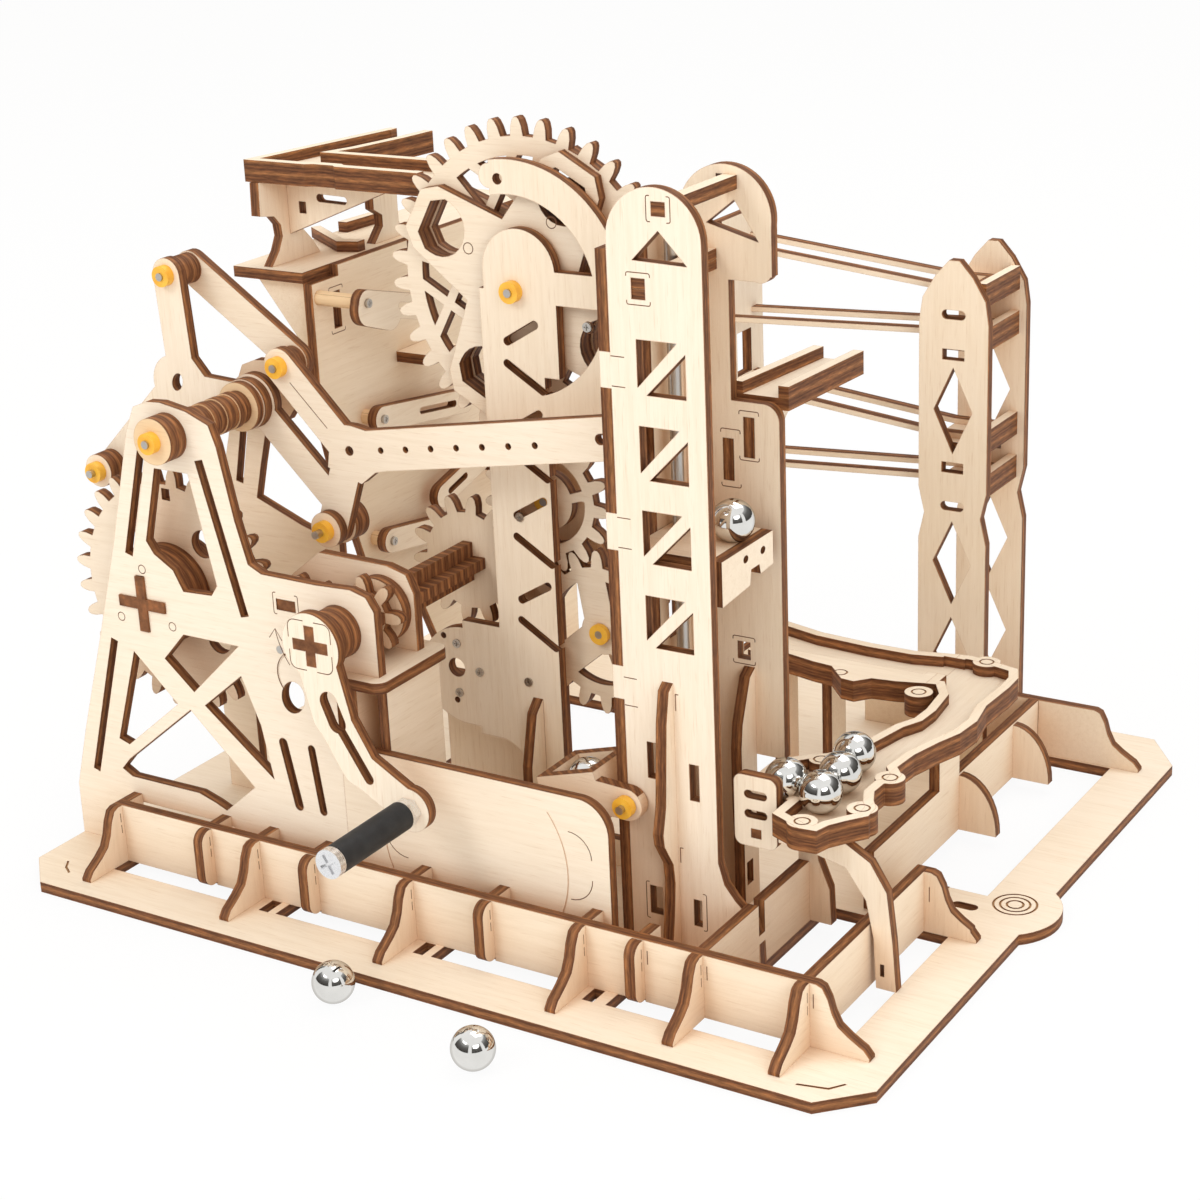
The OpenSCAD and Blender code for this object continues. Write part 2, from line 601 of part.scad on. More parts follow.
module rails() color(wood) at() for (i = [0:3]) {
  xb = rt_x-7.5;
  xr = rt_x+4.4;
  xl = post_x+ply;
  z = shelf_at[i]-0.7;
  h = slope[i]*(xl-xb);
  for (t = [-1, 1]) xz(rail_y+t*rail_cc/2-rail_w/2, rail_w)
    polygon([[xl, z+h], [xb, z], [xr, z], [xr, z+1.4], [xb, z+1.4], [xl, z+h+1.4]]);
  box([xr-3.4, rail_y-rail_cc/2, z], [xr, rail_y+rail_cc/2, z+1.4]);
}
module rail_post() color(wood) at() yz(post_x) difference() {
  rect([rt_y0+ply, z0], [rt_y1, 144]);
  rect([rail_y-4, 20], [rail_y+4, 70]);
  rect([rail_y-4, 100], [rail_y+4, 112]);
}
// Ball tracks
module track2() polygon([[140, 150], [142.2, 149.3], [155.3, 145.8], [170.1, 144.5],
  [182.2, 144.5], [193.7, 147.2], [193.7, 126.2], [186.6, 124.2], [180.3, 123.3],
  [177.1, 119.6], [173.5, 120], [167.8, 126.2], [162.3, 126.9], [152.7, 129.2], [140, 133]]);
module tray2() polygon([[193.7, 147.2], [197, 147.6], [201.3, 146.9], [210.5, 144.6],
  [212.8, 139.1], [213.1, 132.7], [212.6, 119.8], [214.3, 110.4], [213.6, 102.1], [211.3, 95.1],
  [209.1, 86.3], [208.5, 78.4], [211.2, 75], [211.4, 71], [209.6, 68.9], [209.5, 64.3],
  [211.4, 60], [213.4, 57], [213.8, 52.4], [210.6, 48.2], [208.1, 44.4], [207, 40.5],
  [202.8, 40.1], [197.7, 42.6], [194.2, 44.2], [194.2, 49+ply], [186.2, 49+ply], [183.8, 56], [183.8, 72],
  [187, 75.6], [190.6, 78], [193.8, 82], [195.6, 89.2], [197.8, 100.3], [200.2, 105.5],
  [200.5, 111.8], [199.3, 121.7], [196.2, 126.7], [193.7, 126.2]]);
dots = [[201.6, 145.6], [194.4, 120.6], [191, 74.6], [209.4, 72.6], [210.8, 55.4], [202, 43.6]];
dots2 = [[170.8, 146.6], [171.6, 123.4]];
module dotted(d) { for (p = d) translate(p) ring2(1.9, 1.5); }
module lower_track_floor() color(wood) at() {
  xy(track_z-ply) track2();
  for (x = [146, 160]) yz(x) rect([136, z0], [144, track_z-ply]);
}
module lower_track_walls() color(wood) at() difference() {
  xy(track_z) {
    difference() {
      track2();
      offset(delta = -2.6) track2();
      rect([138, 132.5], [143, 147]);
      rect([190.5, 133.3], [194, 144.5]);
    }
    difference() {
      intersection() {
        track2();
        union() {
          translate(dots2[1]) circle(4.4);
          rect([152, 120], [193.7, 131.6]);
        }
      }
      rect([140, 131.6], [160, 150]);
    }
  }
  xy(track_z+ply-0.25, 1) dotted(dots2);
}
module tray_floor() color(wood) at() xy(track_z-ply) union() {
  tray2();
  for (p = dots) translate(p) circle(3.5);
}
module tray_walls() color(wood) at() difference() {
  xy(track_z) difference() {
    union() {
      difference() {
        tray2();
        offset(delta = -2.4) tray2();
      }
      for (p = dots) translate(p) circle(p == dots[2] ? 2.9 : 3.5);
    }
    rect([192, 133.3], [197, 144.5]);
    rect([181, 49], [193.6, 66]);
  }
  xy(track_z+ply-0.25, 1) dotted(dots);
}
module side_track() color(wood) at() {
  xy(127-ply) polygon([[167.5, tower_back_y+ply], [181.7, tower_back_y+ply], [183.5, 113],
    [170.5, 113]]);
  for (p = [[[167.5, tower_back_y+ply], [170.1, tower_back_y+ply], [173.1, 113], [170.5, 113]],
    [[179.1, tower_back_y+ply], [181.7, tower_back_y+ply], [183.5, 113], [180.9, 113]]])
    xy(127) polygon(p);
  for (t = [[track_tab[0], 107, 117], [track_tab[1], 113, 122.5]]) yz(t[0]) polygon([
    [tower_back_y+0.3, t[1]], [tower_back_y+0.3, t[2]], [79, t[2]], [79, 124.19], [98, 124.19],
    [79, t[1]-4], [79, t[1]]]);
}
module flipper_wall() color(wood) at() difference() {
  union() {
    yz(flip_x-ply) polygon([[85, shelf2_z-ply], [200, shelf2_z-ply], [200, z0], [172, z0],
      [160, 20], [130, 24], [118, 50], [98, 62], [88, 92], [85, 104]]);
    yz(flip_x-ply) polygon([[96, shelf2_z-ply], [126, shelf2_z-ply], [126, shelf2_z],
      [96, shelf2_z]]);
    yz(flip_x-ply) polygon([[140, shelf2_z-ply], [170, shelf2_z-ply], [170, shelf2_z],
      [140, shelf2_z]]);
    xy(111, ply) polygon([[flip_x, 118], [flip_x+11, 118], [flip_x+11, 131], [flip_x, 131]]);
    xy(72, ply) polygon([[flip_x, 150], [flip_x+11, 150], [flip_x+11, 162], [flip_x, 162]]);
  }
  for (p = flip_at) yz(flip_x-ply-1, ply+2) translate([p[0], p[1]]) circle(rr);
  yz(flip_x-ply-1, ply+2) rect([92.8, 126], [96, 135.6]);
}
module top_shelf() color(wood) at() {
  xy(shelf2_z-ply) difference() {
    polygon([[19, 85], [flip_x-0.8, 85], [flip_x-0.8, 96], [flip_x-ply, 96], [flip_x-ply, 190],
      [19, 190]]);
    rect([flip_x-ply, 80], [flip_x, 96]);
  }
  xy(shelf2_z+0.01) polygon([[18.6, 122], [34.6, 111], [40.4, 112.6], [40.4, 109.6], [34.8, 107.9],
    [17.4, 119.6]]);
  xy(shelf2_z+0.01) polygon([[20, 128], [22.8, 128], [24, 146], [21.2, 146]]);
  xz(88) polygon([[24, shelf2_z-ply], [flip_x-ply, shelf2_z-ply], [flip_x-ply, 117]]);
  xz(178) polygon([[24, shelf2_z-ply], [flip_x-ply, shelf2_z-ply], [flip_x-ply, 117]]);
}
module top_post() color(wood) at() {
  yz(27.2) polygon([[84.6, top_z-ply], [84.2, 155.6], [89.6, 154.6], [92, 152], [92.4, 149],
    [90.5, 145.5], [87.2, shelf2_z], [107, shelf2_z], [104, 146], [100, 150], [98.6, 154],
    [98.3, top_z-ply]]);
  yz(36) polygon([[119, shelf2_z], [133, shelf2_z], [130, 146], [130, top_z-ply],
    [119.6, top_z-ply], [119.6, 151], [123, 149], [123, 146]]);
  xz(95.5) difference() {
    polygon([[30.02, 149], [30.02, top_z-ply], [67, top_z-ply]]);
    cap([40.4, 158.9], [48, 158.7], 2);
    rect([33.6, 154.6], [35.8, 157.6]);
  }
}
module top2() polygon([[25.4, 85.2], [26.3, 90], [34.2, 135], [48.2, 135], [47, 124], [44, 108],
  [42, 102.4], [78.8, 102.4], [78.8, 85.2], [54, 85.2], [52.7, 86.2], [46.6, 86.2], [44.6, 85.2]]);
module top_track_floor() color(wood) at() xy(top_z-ply) top2();
module top_track_walls() color(wood) at() xy(top_z) difference() {
  top2();
  offset(delta = -2.6) top2();
  rect([75, 88], [79, 99.6]);
  rect([36.6, 131], [45.4, 136]);
}
module fixed_rings() color(yellow) at() {
  collar(pivot, frame_y-2*ply-ring_t, frame_y-2*ply, ring_d/2, rr);
  collar(wheel, wall_y-ring_t, wall_y, ring_d/2, rr);
  collar(buck, tower_y-ply-2*gap-2, tower_y-ply-2*gap, ring_d/2, rr);
  for (p = [gear_a, gear_b]) collar(p, gear_y-1.5, gear_y-gap, ring_d/2, rr);
}
// Crank and gears
module crank_arm() color(wood) at() xz(crank_y) difference() {
  union() {
    translate(crank) circle(hub_r);
    translate(grip_at) circle(5.4);
    cap(crank+[1, -3], crank+[4.5, -17], 11.5);
    cap(crank+[4.5, -17], crank+[11, -28], 10.4);
    cap(crank+[11, -28], grip_at, 9.4);
  }
  translate(crank) cross2(5, ply);
  cap(crank+[4, -13], crank+[6, -18], 5);
  cap(crank+[6, -18], crank+[14, -30.5], 2.6);
  translate(grip_at) circle(1.6);
}
module crank_shaft() color(wood) at() {
  xz(crank_y, rear_y+ply-crank_y) translate(crank) rect([-5, -ply/2], [5, ply/2]);
  for (s = [-1, 1]) xz(crank_y, rear_y+ply-crank_y) translate(crank)
    translate([0, s*(ply/2+1.8)]) rect([-ply/2, -1.8], [ply/2, 1.8]);
  for (d = [[crank_y+ply, frame_y+ply+0.6, washer_r], [drive_y, drive_y+ply, 0],
    [drive_y+ply, inner_y-gap, 8.2], [inner_y-gap, inner_y+ply+1.6, washer_r],
    [gear_y, gear_y+ply, 1], [gear_y+ply, rear_y+ply, washer_r]])
    xz(d[0], d[1]-d[0]) difference() {
      if (d[2] == 0) translate(crank) gear2(pinion_n, 0, 1);
      else if (d[2] == 1) translate(crank) gear2(rear_n, rear_a, 1);
      else translate(crank) circle(d[2]);
      translate(crank) cross2(5, ply);
    }
}
module grip_sleeve() color(black) at() difference() {
  rod(grip_at, crank_y-1.2-grip_l, crank_y-nut_t-0.1, grip_d/2);
  rod(grip_at, crank_y-3-grip_l, crank_y, 1.6+fit);
}
module grip_screw() color(steel) at() {
  difference() {
    union() {
      rod(grip_at, crank_y-grip_l-2.4, crank_y+ply+3, 1.6);
      rod(grip_at, crank_y-grip_l-3.4, crank_y-grip_l-1.4, grip_d/2);
    }
    xz(crank_y-grip_l-3.5, 0.9) translate(grip_at) rotate(30) cross2(2.4, 0.8);
  }
  for (y = [crank_y-nut_t, crank_y+ply]) xz(y, y < crank_y ? nut_t : 2.4) translate(grip_at)
    difference() {
      circle(3.4, $fn = 6);
      circle(1.6);
    }
}
module idler_gear() color(wood) at() xz(drive_y) translate(idler) gear2(idler_n, idler_a, rr+fit);
module drive_gear() color(wood) at() xz(drive_y) translate(drive) difference() {
  gear2(drive_n, drive_a, 11+fit);
  for (i = [0:3]) rotate(i*90+50) translate([17.6, 0]) circle(3.6);
  rotate(88) rect([23.4, -1.3], [26.4, 1.3]);
}
module gear_a() color(wood) at() xz(gear_y) translate(gear_a) difference() {
  gear2(gear_a_n, gear_a_a, rr+fit);
  for (i = [0:2]) rotate(i*120+20) intersection() {
    ring2(11, 7.4);
    polygon([[2, 0], [20, 0], [0, 26], [-3, 10]]);
  }
}
module gear_b() color(wood) at() xz(gear_y) translate(gear_b) difference() {
  gear2(gear_b_n, gear_b_a, rr+fit);
  for (i = [0:2]) rotate(i*120+70) difference() {
    intersection() {
      circle(13.6);
      polygon([[0, 4.8], [30, 22], [-30, 22]]);
    }
    circle(5.6);
  }
}
module pocket2(g) polygon(concat(fan([25.6, 0], 5.4+g, 90, 270), [[27.2, -5.4-g],
  [29+g, -3.4-g*0.6], [29+g, 3.4+g*0.6], [27.2, 5.4+g]]));
module star2() difference() {
  union() {
    polygon([for (i = [0:3]) for (k = [[34.6, -9], [34.6, 9], [31.5, 16], [16.4, 45], [31.5, 74]])
      k[0]*[cos(wheel_a+i*90+k[1]), sin(wheel_a+i*90+k[1])]]);
    for (i = [0:3]) rotate(wheel_a+i*90) pocket2(3);
  }
  for (i = [0:3]) rotate(wheel_a+i*90) pocket2(1.6);
  circle(rr+fit);
}
module lift_wheel() color(wood) at() {
  for (y = [star_y, gear_y+ply]) xz(y) translate(wheel) difference() {
    star2();
    rotate(wheel_a-4) translate([12.5, 0]) circle(1.6);
  }
  xz(gear_y) translate(wheel) difference() {
    gear2(wheel_n, wheel_a, rr+fit);
    for (i = [0:3]) rotate(wheel_a+i*90) {
      pocket2(2.2);
      difference() {
        intersection() {
          ring2(30.4, 11);
          polygon([[4.4, 4.4], [50, 19], [50, 50], [19, 50]]);
        }
        cap([17, 5], [17, 28], 2.4);
        cap([5, 17], [28, 17], 2.4);
      }
    }
  }
}
module wheel_ball() color(steel) at() translate([wheel_x, gear_y+ply/2, wheel_z])
  rotate([0, -wheel_a, 0]) translate([19.02+br, 0, -0.38]) sphere(br);
// Swing lever with its link truss
lobe = [53.4, 125.9];
fulc = [65.9, 86.6];
horn = [22.9, 146.5];
foll = [-1.9, 94.6];
body_at = [73, 107];
module lever2() difference() {
  union() {
    translate(pivot) circle(7);
    cap(pivot, [67.5, 93], 7.6);
    cap(lobe, [70, 109], 9);
    cap(body_at, fulc, 8.6);
    polygon([[68, 113.4], [74, 113.4], [78.3, 112.7], [tower_x+1.6, 125.9], [tower_x+1.6, 115.4],
      [84, 103.3], [80.3, 102.4], [76, 99], [66, 102]]);
  }
  translate(pivot) circle(rr+fit);
  translate(body_at) circle(1.2);
  for (i = [0:6]) translate([82.5+7.4*i, 108.3+1.14*i]) circle(0.8);
  cap([144.6, 118.8], [151.6, 120], 2.6);
  translate(lobe) circle(rr);
  translate(fulc) circle(rr);
}
module rock2() difference() {
  union() {
    translate(pivot) circle(6.4);
    cap(horn, [24.4, 123], 8.4);
    translate([22.4, 119]) circle(7.2);
    polygon([[22, 126.2], [28.4, 126], [32, 121.8], [40, 121.4], [44, 122.4], [44, 109.6],
      [34, 113.4], [24, 112]]);
    cap([20, 116], foll, 8.6);
  }
  translate(pivot) circle(rr+fit);
  translate([23, 119.4]) rotate(-25) scale([1, 1.5]) circle(1.6);
  translate(horn) circle(rr);
  translate(foll) circle(rr);
}
module swing_lever() color(wood) at() {
  xz(swing_y) lever2();
  collar(fulc, swing_y-ply, swing_y, 4.5, rr);
  collar(fulc, swing_y+ply, swing_y+3*ply, 5, rr);
}
module rocker() color(wood) at() {
  xz(rock_y) rock2();
  collar(foll, rock_y-2*ply, rock_y, 4.3, rr);
}
module link() color(wood) at() {
  xz(link_y) difference() {
    cap(horn, lobe, 8.4);
    translate(horn) circle(rr);
    translate(lobe) circle(rr);
  }
  collar(horn, rock_y+ply, link_y, 3.8, rr);
  collar(lobe, swing_y+ply, link_y, 3.8, rr);
}
module swing_rings() color(yellow) at() {
  collar(lobe, swing_y-ring_t, swing_y, ring_d/2, rr);
  collar(horn, rock_y-ring_t, rock_y, ring_d/2, rr);
  collar(fulc, swing_y-ply-ring_t, swing_y-ply, ring_d/2, rr);
  collar(foll, rock_y-2*ply-ring_t, rock_y-2*ply, ring_d/2, rr);
}
module swing_pins() color(steel) at() {
  rod(lobe, swing_y-ring_t-0.5, link_y+ply, rr);
  rod(horn, rock_y-ring_t-0.5, link_y+ply, rr);
  rod(fulc, swing_y-ply-ring_t-2.2, swing_y+3*ply, rr);
  rod(foll, rock_y-2*ply-ring_t-1.4, rock_y+ply, rr);
}
// Carriage in the tower
seat = [175.4, 63.4];
module carriage() color(wood) at() difference() {
  union() {
    box([tower_x+ply+gap, tower_y+ply+1.5, car_z-ply], [177.4, tower_back_y-3, car_z]);
    box([tower_x+ply+gap, tower_y+ply+1.5, car_z-3*ply], [177.4, tower_back_y-3, car_z-2*ply]);
    yz(177.4) difference() {
      polygon([[tower_y+ply+1.5, car_z], [tower_back_y-3, car_z], [tower_back_y-3, car_z-8],
        [67, car_z-8.4], [66.4, car_z-6], [62.6, car_z-6], [62, car_z-9.6],
        [tower_y+ply+1.5, car_z-10.6]]);
      translate([60.2, 95]) scale([1, 0.8]) circle(1.1);
      translate([68.2, 94.6]) scale([1, 0.8]) circle(1.1);
    }
    yz(166) rect([tower_y+ply+1.5, car_z-2*ply], [tower_back_y-3, car_z-ply]);
  }
  translate([160, 66, car_z-20]) cylinder(40, d = guide_d+2*fit+0.1);
  translate([seat[0], seat[1], car_z-ply-1]) cylinder(ply+2, r = 2);
  box([brace_x-gap, 68.2, car_z-20], [brace_x+ply+gap, tower_back_y, car_z+1]);
}
module carriage_ball() color(steel) at()
  translate([seat[0], seat[1], car_z+sqrt(br*br-4)]) sphere(br);
// Flippers on the wall
flip_to = [[118, 127], [140, 95], [127, 71.5], [131, 62]];
module flip(i) color(wood) at() yz(flip_x+flip_off[i]) difference() {
  union() {
    cap(flip_at[i], flip_to[i], 6.6);
    if (i == 0) cap(flip_at[i]+[0.6, -1.6], [97, 130.6], 8.8);
  }
  cap(flip_at[i]+(flip_to[i]-flip_at[i])*0.45, flip_at[i]+(flip_to[i]-flip_at[i])*0.85, 1.8);
  translate(flip_at[i]) circle(rr+fit);
}
module flipper_1() flip(0);
module flipper_2() flip(1);
module flipper_3() flip(2);
module flipper_4() flip(3);
// Tipping bucket beside the tower
module tilted() translate([buck_top[0], 0, buck_top[1]]) rotate([0, -buck_tilt, 0]) children();
module bucket() color(wood) at() {
  tilted() xz(tower_y-ply-gap) rect([-16.4, -buck_h], [0, 0]);
  xz(tower_y-ply-gap) difference() {
    cap(buck, buck_top+[-1, -6], 8);
    translate(buck) circle(rr+fit);
  }
  tilted() {
    xz(tower_y-gap+11.2) rect([-16.4, -buck_h], [0, 0]);
    box([-16.4, tower_y-gap, -buck_h], [-16.4+ply, tower_y-gap+11.2, 0]);
    box([-ply, tower_y-gap, -buck_h], [0, tower_y-gap+11.2, 0]);
    box([ply-16.4, tower_y-gap, -buck_h], [-ply, tower_y-gap+11.2, ply-buck_h]);
  }
}
module bucket_ball() color(steel) at() tilted()
  translate([-8.2, tower_y-gap+5.6, ply-buck_h+br]) sphere(br);
// Balls waiting in the tray and in front of the base
module balls() color(steel) at() {
  for (p = [[198.4, 76.9], [200.4, 65.6], [201, 54.6], [191, 57.2]])
    translate([p[0], p[1], track_z+br]) sphere(br);
  for (p = [[109.4, -9], [153.9, -17.9]]) translate([p[0], p[1], br]) sphere(br);
}

// Drawing
base_plate();
front_beam();
front_ribs();
short_ribs();
right_beam_outer();
inner_beams();
tray_leg();
front_frame();
front_panel();
inner_frame();
crank_shelf();
cross_axle();
spool();
gear_wall();
rear_wall();
fixed_rods();
fixed_rings();
tower_front();
tower_back();
tower_side();
tower_braces();
gate_plate();
rail_tower();
rail_shelves();
rails();
rail_post();
lower_track_floor();
lower_track_walls();
tray_floor();
tray_walls();
side_track();
flipper_wall();
top_shelf();
top_post();
top_track_floor();
top_track_walls();
crank_arm();
crank_shaft();
grip_sleeve();
grip_screw();
idler_gear();
drive_gear();
gear_a();
gear_b();
lift_wheel();
wheel_ball();
swing_lever();
rocker();
link();
swing_rings();
carriage();
carriage_ball();
flipper_1();
flipper_2();
flipper_3();
flipper_4();
bucket();
bucket_ball();
balls();
swing_pins();
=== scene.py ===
"""Looks of the wooden marble run: birch ply with burnt edges, steel, yellow plastic and black rubber."""
import logging
import math
from collections.abc import Sequence
from dataclasses import dataclass, field, replace
from enum import Enum

import bpy
from mathutils import Matrix, Vector


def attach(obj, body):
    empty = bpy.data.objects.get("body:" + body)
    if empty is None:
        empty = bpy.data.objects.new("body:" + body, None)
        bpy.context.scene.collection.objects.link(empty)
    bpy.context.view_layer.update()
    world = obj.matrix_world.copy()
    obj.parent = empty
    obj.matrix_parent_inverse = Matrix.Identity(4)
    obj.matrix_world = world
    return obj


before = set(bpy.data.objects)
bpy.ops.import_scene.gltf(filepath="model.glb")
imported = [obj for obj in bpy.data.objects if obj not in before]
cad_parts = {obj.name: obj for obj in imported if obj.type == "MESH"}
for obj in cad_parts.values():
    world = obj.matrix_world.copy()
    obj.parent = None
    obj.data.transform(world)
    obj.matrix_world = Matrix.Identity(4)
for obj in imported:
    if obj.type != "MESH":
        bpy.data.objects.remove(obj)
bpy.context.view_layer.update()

MM = 0.001
PLY = 2.8
# The row frame's origin, in mm from the base's front left corner.
ORIGIN = Vector((118.0, 7.0, 0.0))
ONES = (1.0, 1.0, 1.0)
WHITE = (1.0, 1.0, 1.0)
BLACK = (0.0, 0.0, 0.0)
log = logging.getLogger("marble_run")

Colour = tuple[float, float, float]
Point = tuple[float, float, float]
Spot = tuple[float, float]
Stops = Sequence[tuple[float, Colour]]
Socket = bpy.types.NodeSocket
Value = Socket | float | tuple[float, ...]


def place(x: float, y: float, z: float) -> Vector:
    """Turn a point measured from the base's front left corner, in mm, into the row frame in metres."""
    return (Vector((x, y, z)) - ORIGIN) * MM


def colour(red: int, green: int, blue: int) -> Colour:
    """Turn a screen colour into Blender's linear one.

    Args:
        red: The red level, 0 to 255.
        green: The green level, 0 to 255.
        blue: The blue level, 0 to 255.

    Returns:
        The linear colour.
    """
    def linear(level: int) -> float:
        """One channel of it."""
        share = level / 255
        return share / 12.92 if share <= 0.04045 else ((share + 0.055) / 1.055) ** 2.4
    return linear(red), linear(green), linear(blue)


def opaque(tint: Colour) -> tuple[float, float, float, float]:
    """Give a colour its alpha."""
    return (*tint, 1.0)


class Faces(Enum):
    """Which way the pale faces of a sheet look. The other sides are its burnt edges."""

    NONE = (0.0, 0.0, 0.0)
    X = (1.0, 0.0, 0.0)
    Y = (0.0, 1.0, 0.0)
    Z = (0.0, 0.0, 1.0)
    XY = (1.0, 1.0, 0.0)
    ALL = (1.0, 1.0, 1.0)


class Grain(Enum):
    """The direction of the face veneer, as the stretch of its pattern along each axis."""

    X = (0.06, 1.0, 1.0)
    Y = (1.0, 0.06, 1.0)
    Z = (1.0, 1.0, 0.06)


class Tree:
    """A short hand for building a node tree."""

    def __init__(self, tree: bpy.types.NodeTree) -> None:
        """Keep the tree and empty it."""
        self.tree = tree
        tree.nodes.clear()

    def add(self, kind: str, inputs: dict | None = None, **settings: object) -> bpy.types.Node:
        """Add a node.

        Args:
            kind: The node's type name.
            inputs: Values or output sockets for its inputs, by name or index.
            settings: The node's own properties.

        Returns:
            The new node.
        """
        node = self.tree.nodes.new(kind)
        for name, value in settings.items():
            setattr(node, name, value)
        for key, value in (inputs or {}).items():
            if isinstance(value, bpy.types.NodeSocket):
                self.tree.links.new(value, node.inputs[key])
            else:
                node.inputs[key].default_value = value
        return node

    def math(self, operation: str, *values: Value, clamp: bool = False) -> Socket:
        """Add a Math node and return its result."""
        node = self.add("ShaderNodeMath", dict(enumerate(values)), operation=operation, use_clamp=clamp)
        return node.outputs[0]

    def vector(self, operation: str, *values: Value) -> Socket:
        """Add a Vector Math node and return its vector, or its number for a dot product."""
        node = self.add("ShaderNodeVectorMath", dict(enumerate(values)), operation=operation)
        return node.outputs["Value" if operation == "DOT_PRODUCT" else "Vector"]

    def noise(self, where: Socket, scale: float, detail: float = 3.0, rough: float = 0.5) -> Socket:
        """Add a noise texture and return its number."""
        inputs = {"Vector": where, "Scale": scale, "Detail": detail, "Roughness": rough}
        return self.add("ShaderNodeTexNoise", inputs).outputs[0]

    def ramp(self, factor: Socket, stops: Stops) -> Socket:
        """Add a colour ramp.

        Args:
            factor: The number that the ramp turns into a colour.
            stops: Places from 0 to 1, each with its colour.

        Returns:
            The socket of the colour.
        """
        node = self.add("ShaderNodeValToRGB", {0: factor})
        while len(node.color_ramp.elements) < len(stops):
            node.color_ramp.elements.new(0.5)
        for element, (at, tint) in zip(node.color_ramp.elements, stops):
            element.position = at
            element.color = opaque(tint)
        return node.outputs[0]

    def mix(self, factor: Value, a: Value, b: Value, blend: str = "MIX") -> Socket:
        """Mix two colours and return the result."""
        node = self.add("ShaderNodeMix", {0: factor, 6: a, 7: b}, data_type="RGBA", blend_type=blend)
        return node.outputs[2]

    def multiply(self, strength: Value, a: Value, b: Value) -> Socket:
        """Darken colour a by colour b and return the result."""
        return self.mix(strength, a, b, "MULTIPLY")


def blank(name: str) -> tuple[bpy.types.Material, Tree]:
    """Start a material.

    Args:
        name: The material's name.

    Returns:
        The material and its empty tree.
    """
    material = bpy.data.materials.new(name)
    material.use_nodes = True
    return material, Tree(material.node_tree)


def show(name: str, data: bpy.types.ID) -> bpy.types.Object:
    """Put data into the scene.

    Args:
        name: The new object's name.
        data: Its mesh, lamp or camera.

    Returns:
        The new object, at the origin.
    """
    shown = bpy.data.objects.new(name, data)
    bpy.context.scene.collection.objects.link(shown)
    return shown


@dataclass(frozen=True)
class Zone:
    """A box of a node, in mm from the base's corner, where the pale faces look another way."""

    faces: Faces
    x: Spot | None = None
    y: Spot | None = None
    z: Spot | None = None

    def mask(self, tree: Tree, parts: Sequence[Socket]) -> Socket:
        """Return a number that is 1 inside the box.

        Args:
            tree: The material's tree.
            parts: The outputs X, Y and Z of the point on the object.

        Returns:
            The socket of the number.
        """
        inside = None
        for axis, span in enumerate((self.x, self.y, self.z)):
            if span is None:
                continue
            low, high = ((level - ORIGIN[axis]) * MM for level in span)
            here = tree.math("COMPARE", parts[axis], (low + high) / 2, (high - low) / 2)
            inside = here if inside is None else tree.math("MULTIPLY", inside, here)
        return inside


BURNT_PLIES = (
    (0.0, colour(128, 82, 50)), (0.14, colour(98, 60, 36)), (0.34, colour(132, 86, 52)),
    (0.5, colour(154, 104, 64)), (0.66, colour(128, 82, 50)), (0.86, colour(96, 58, 35)),
    (1.0, colour(126, 80, 48)))


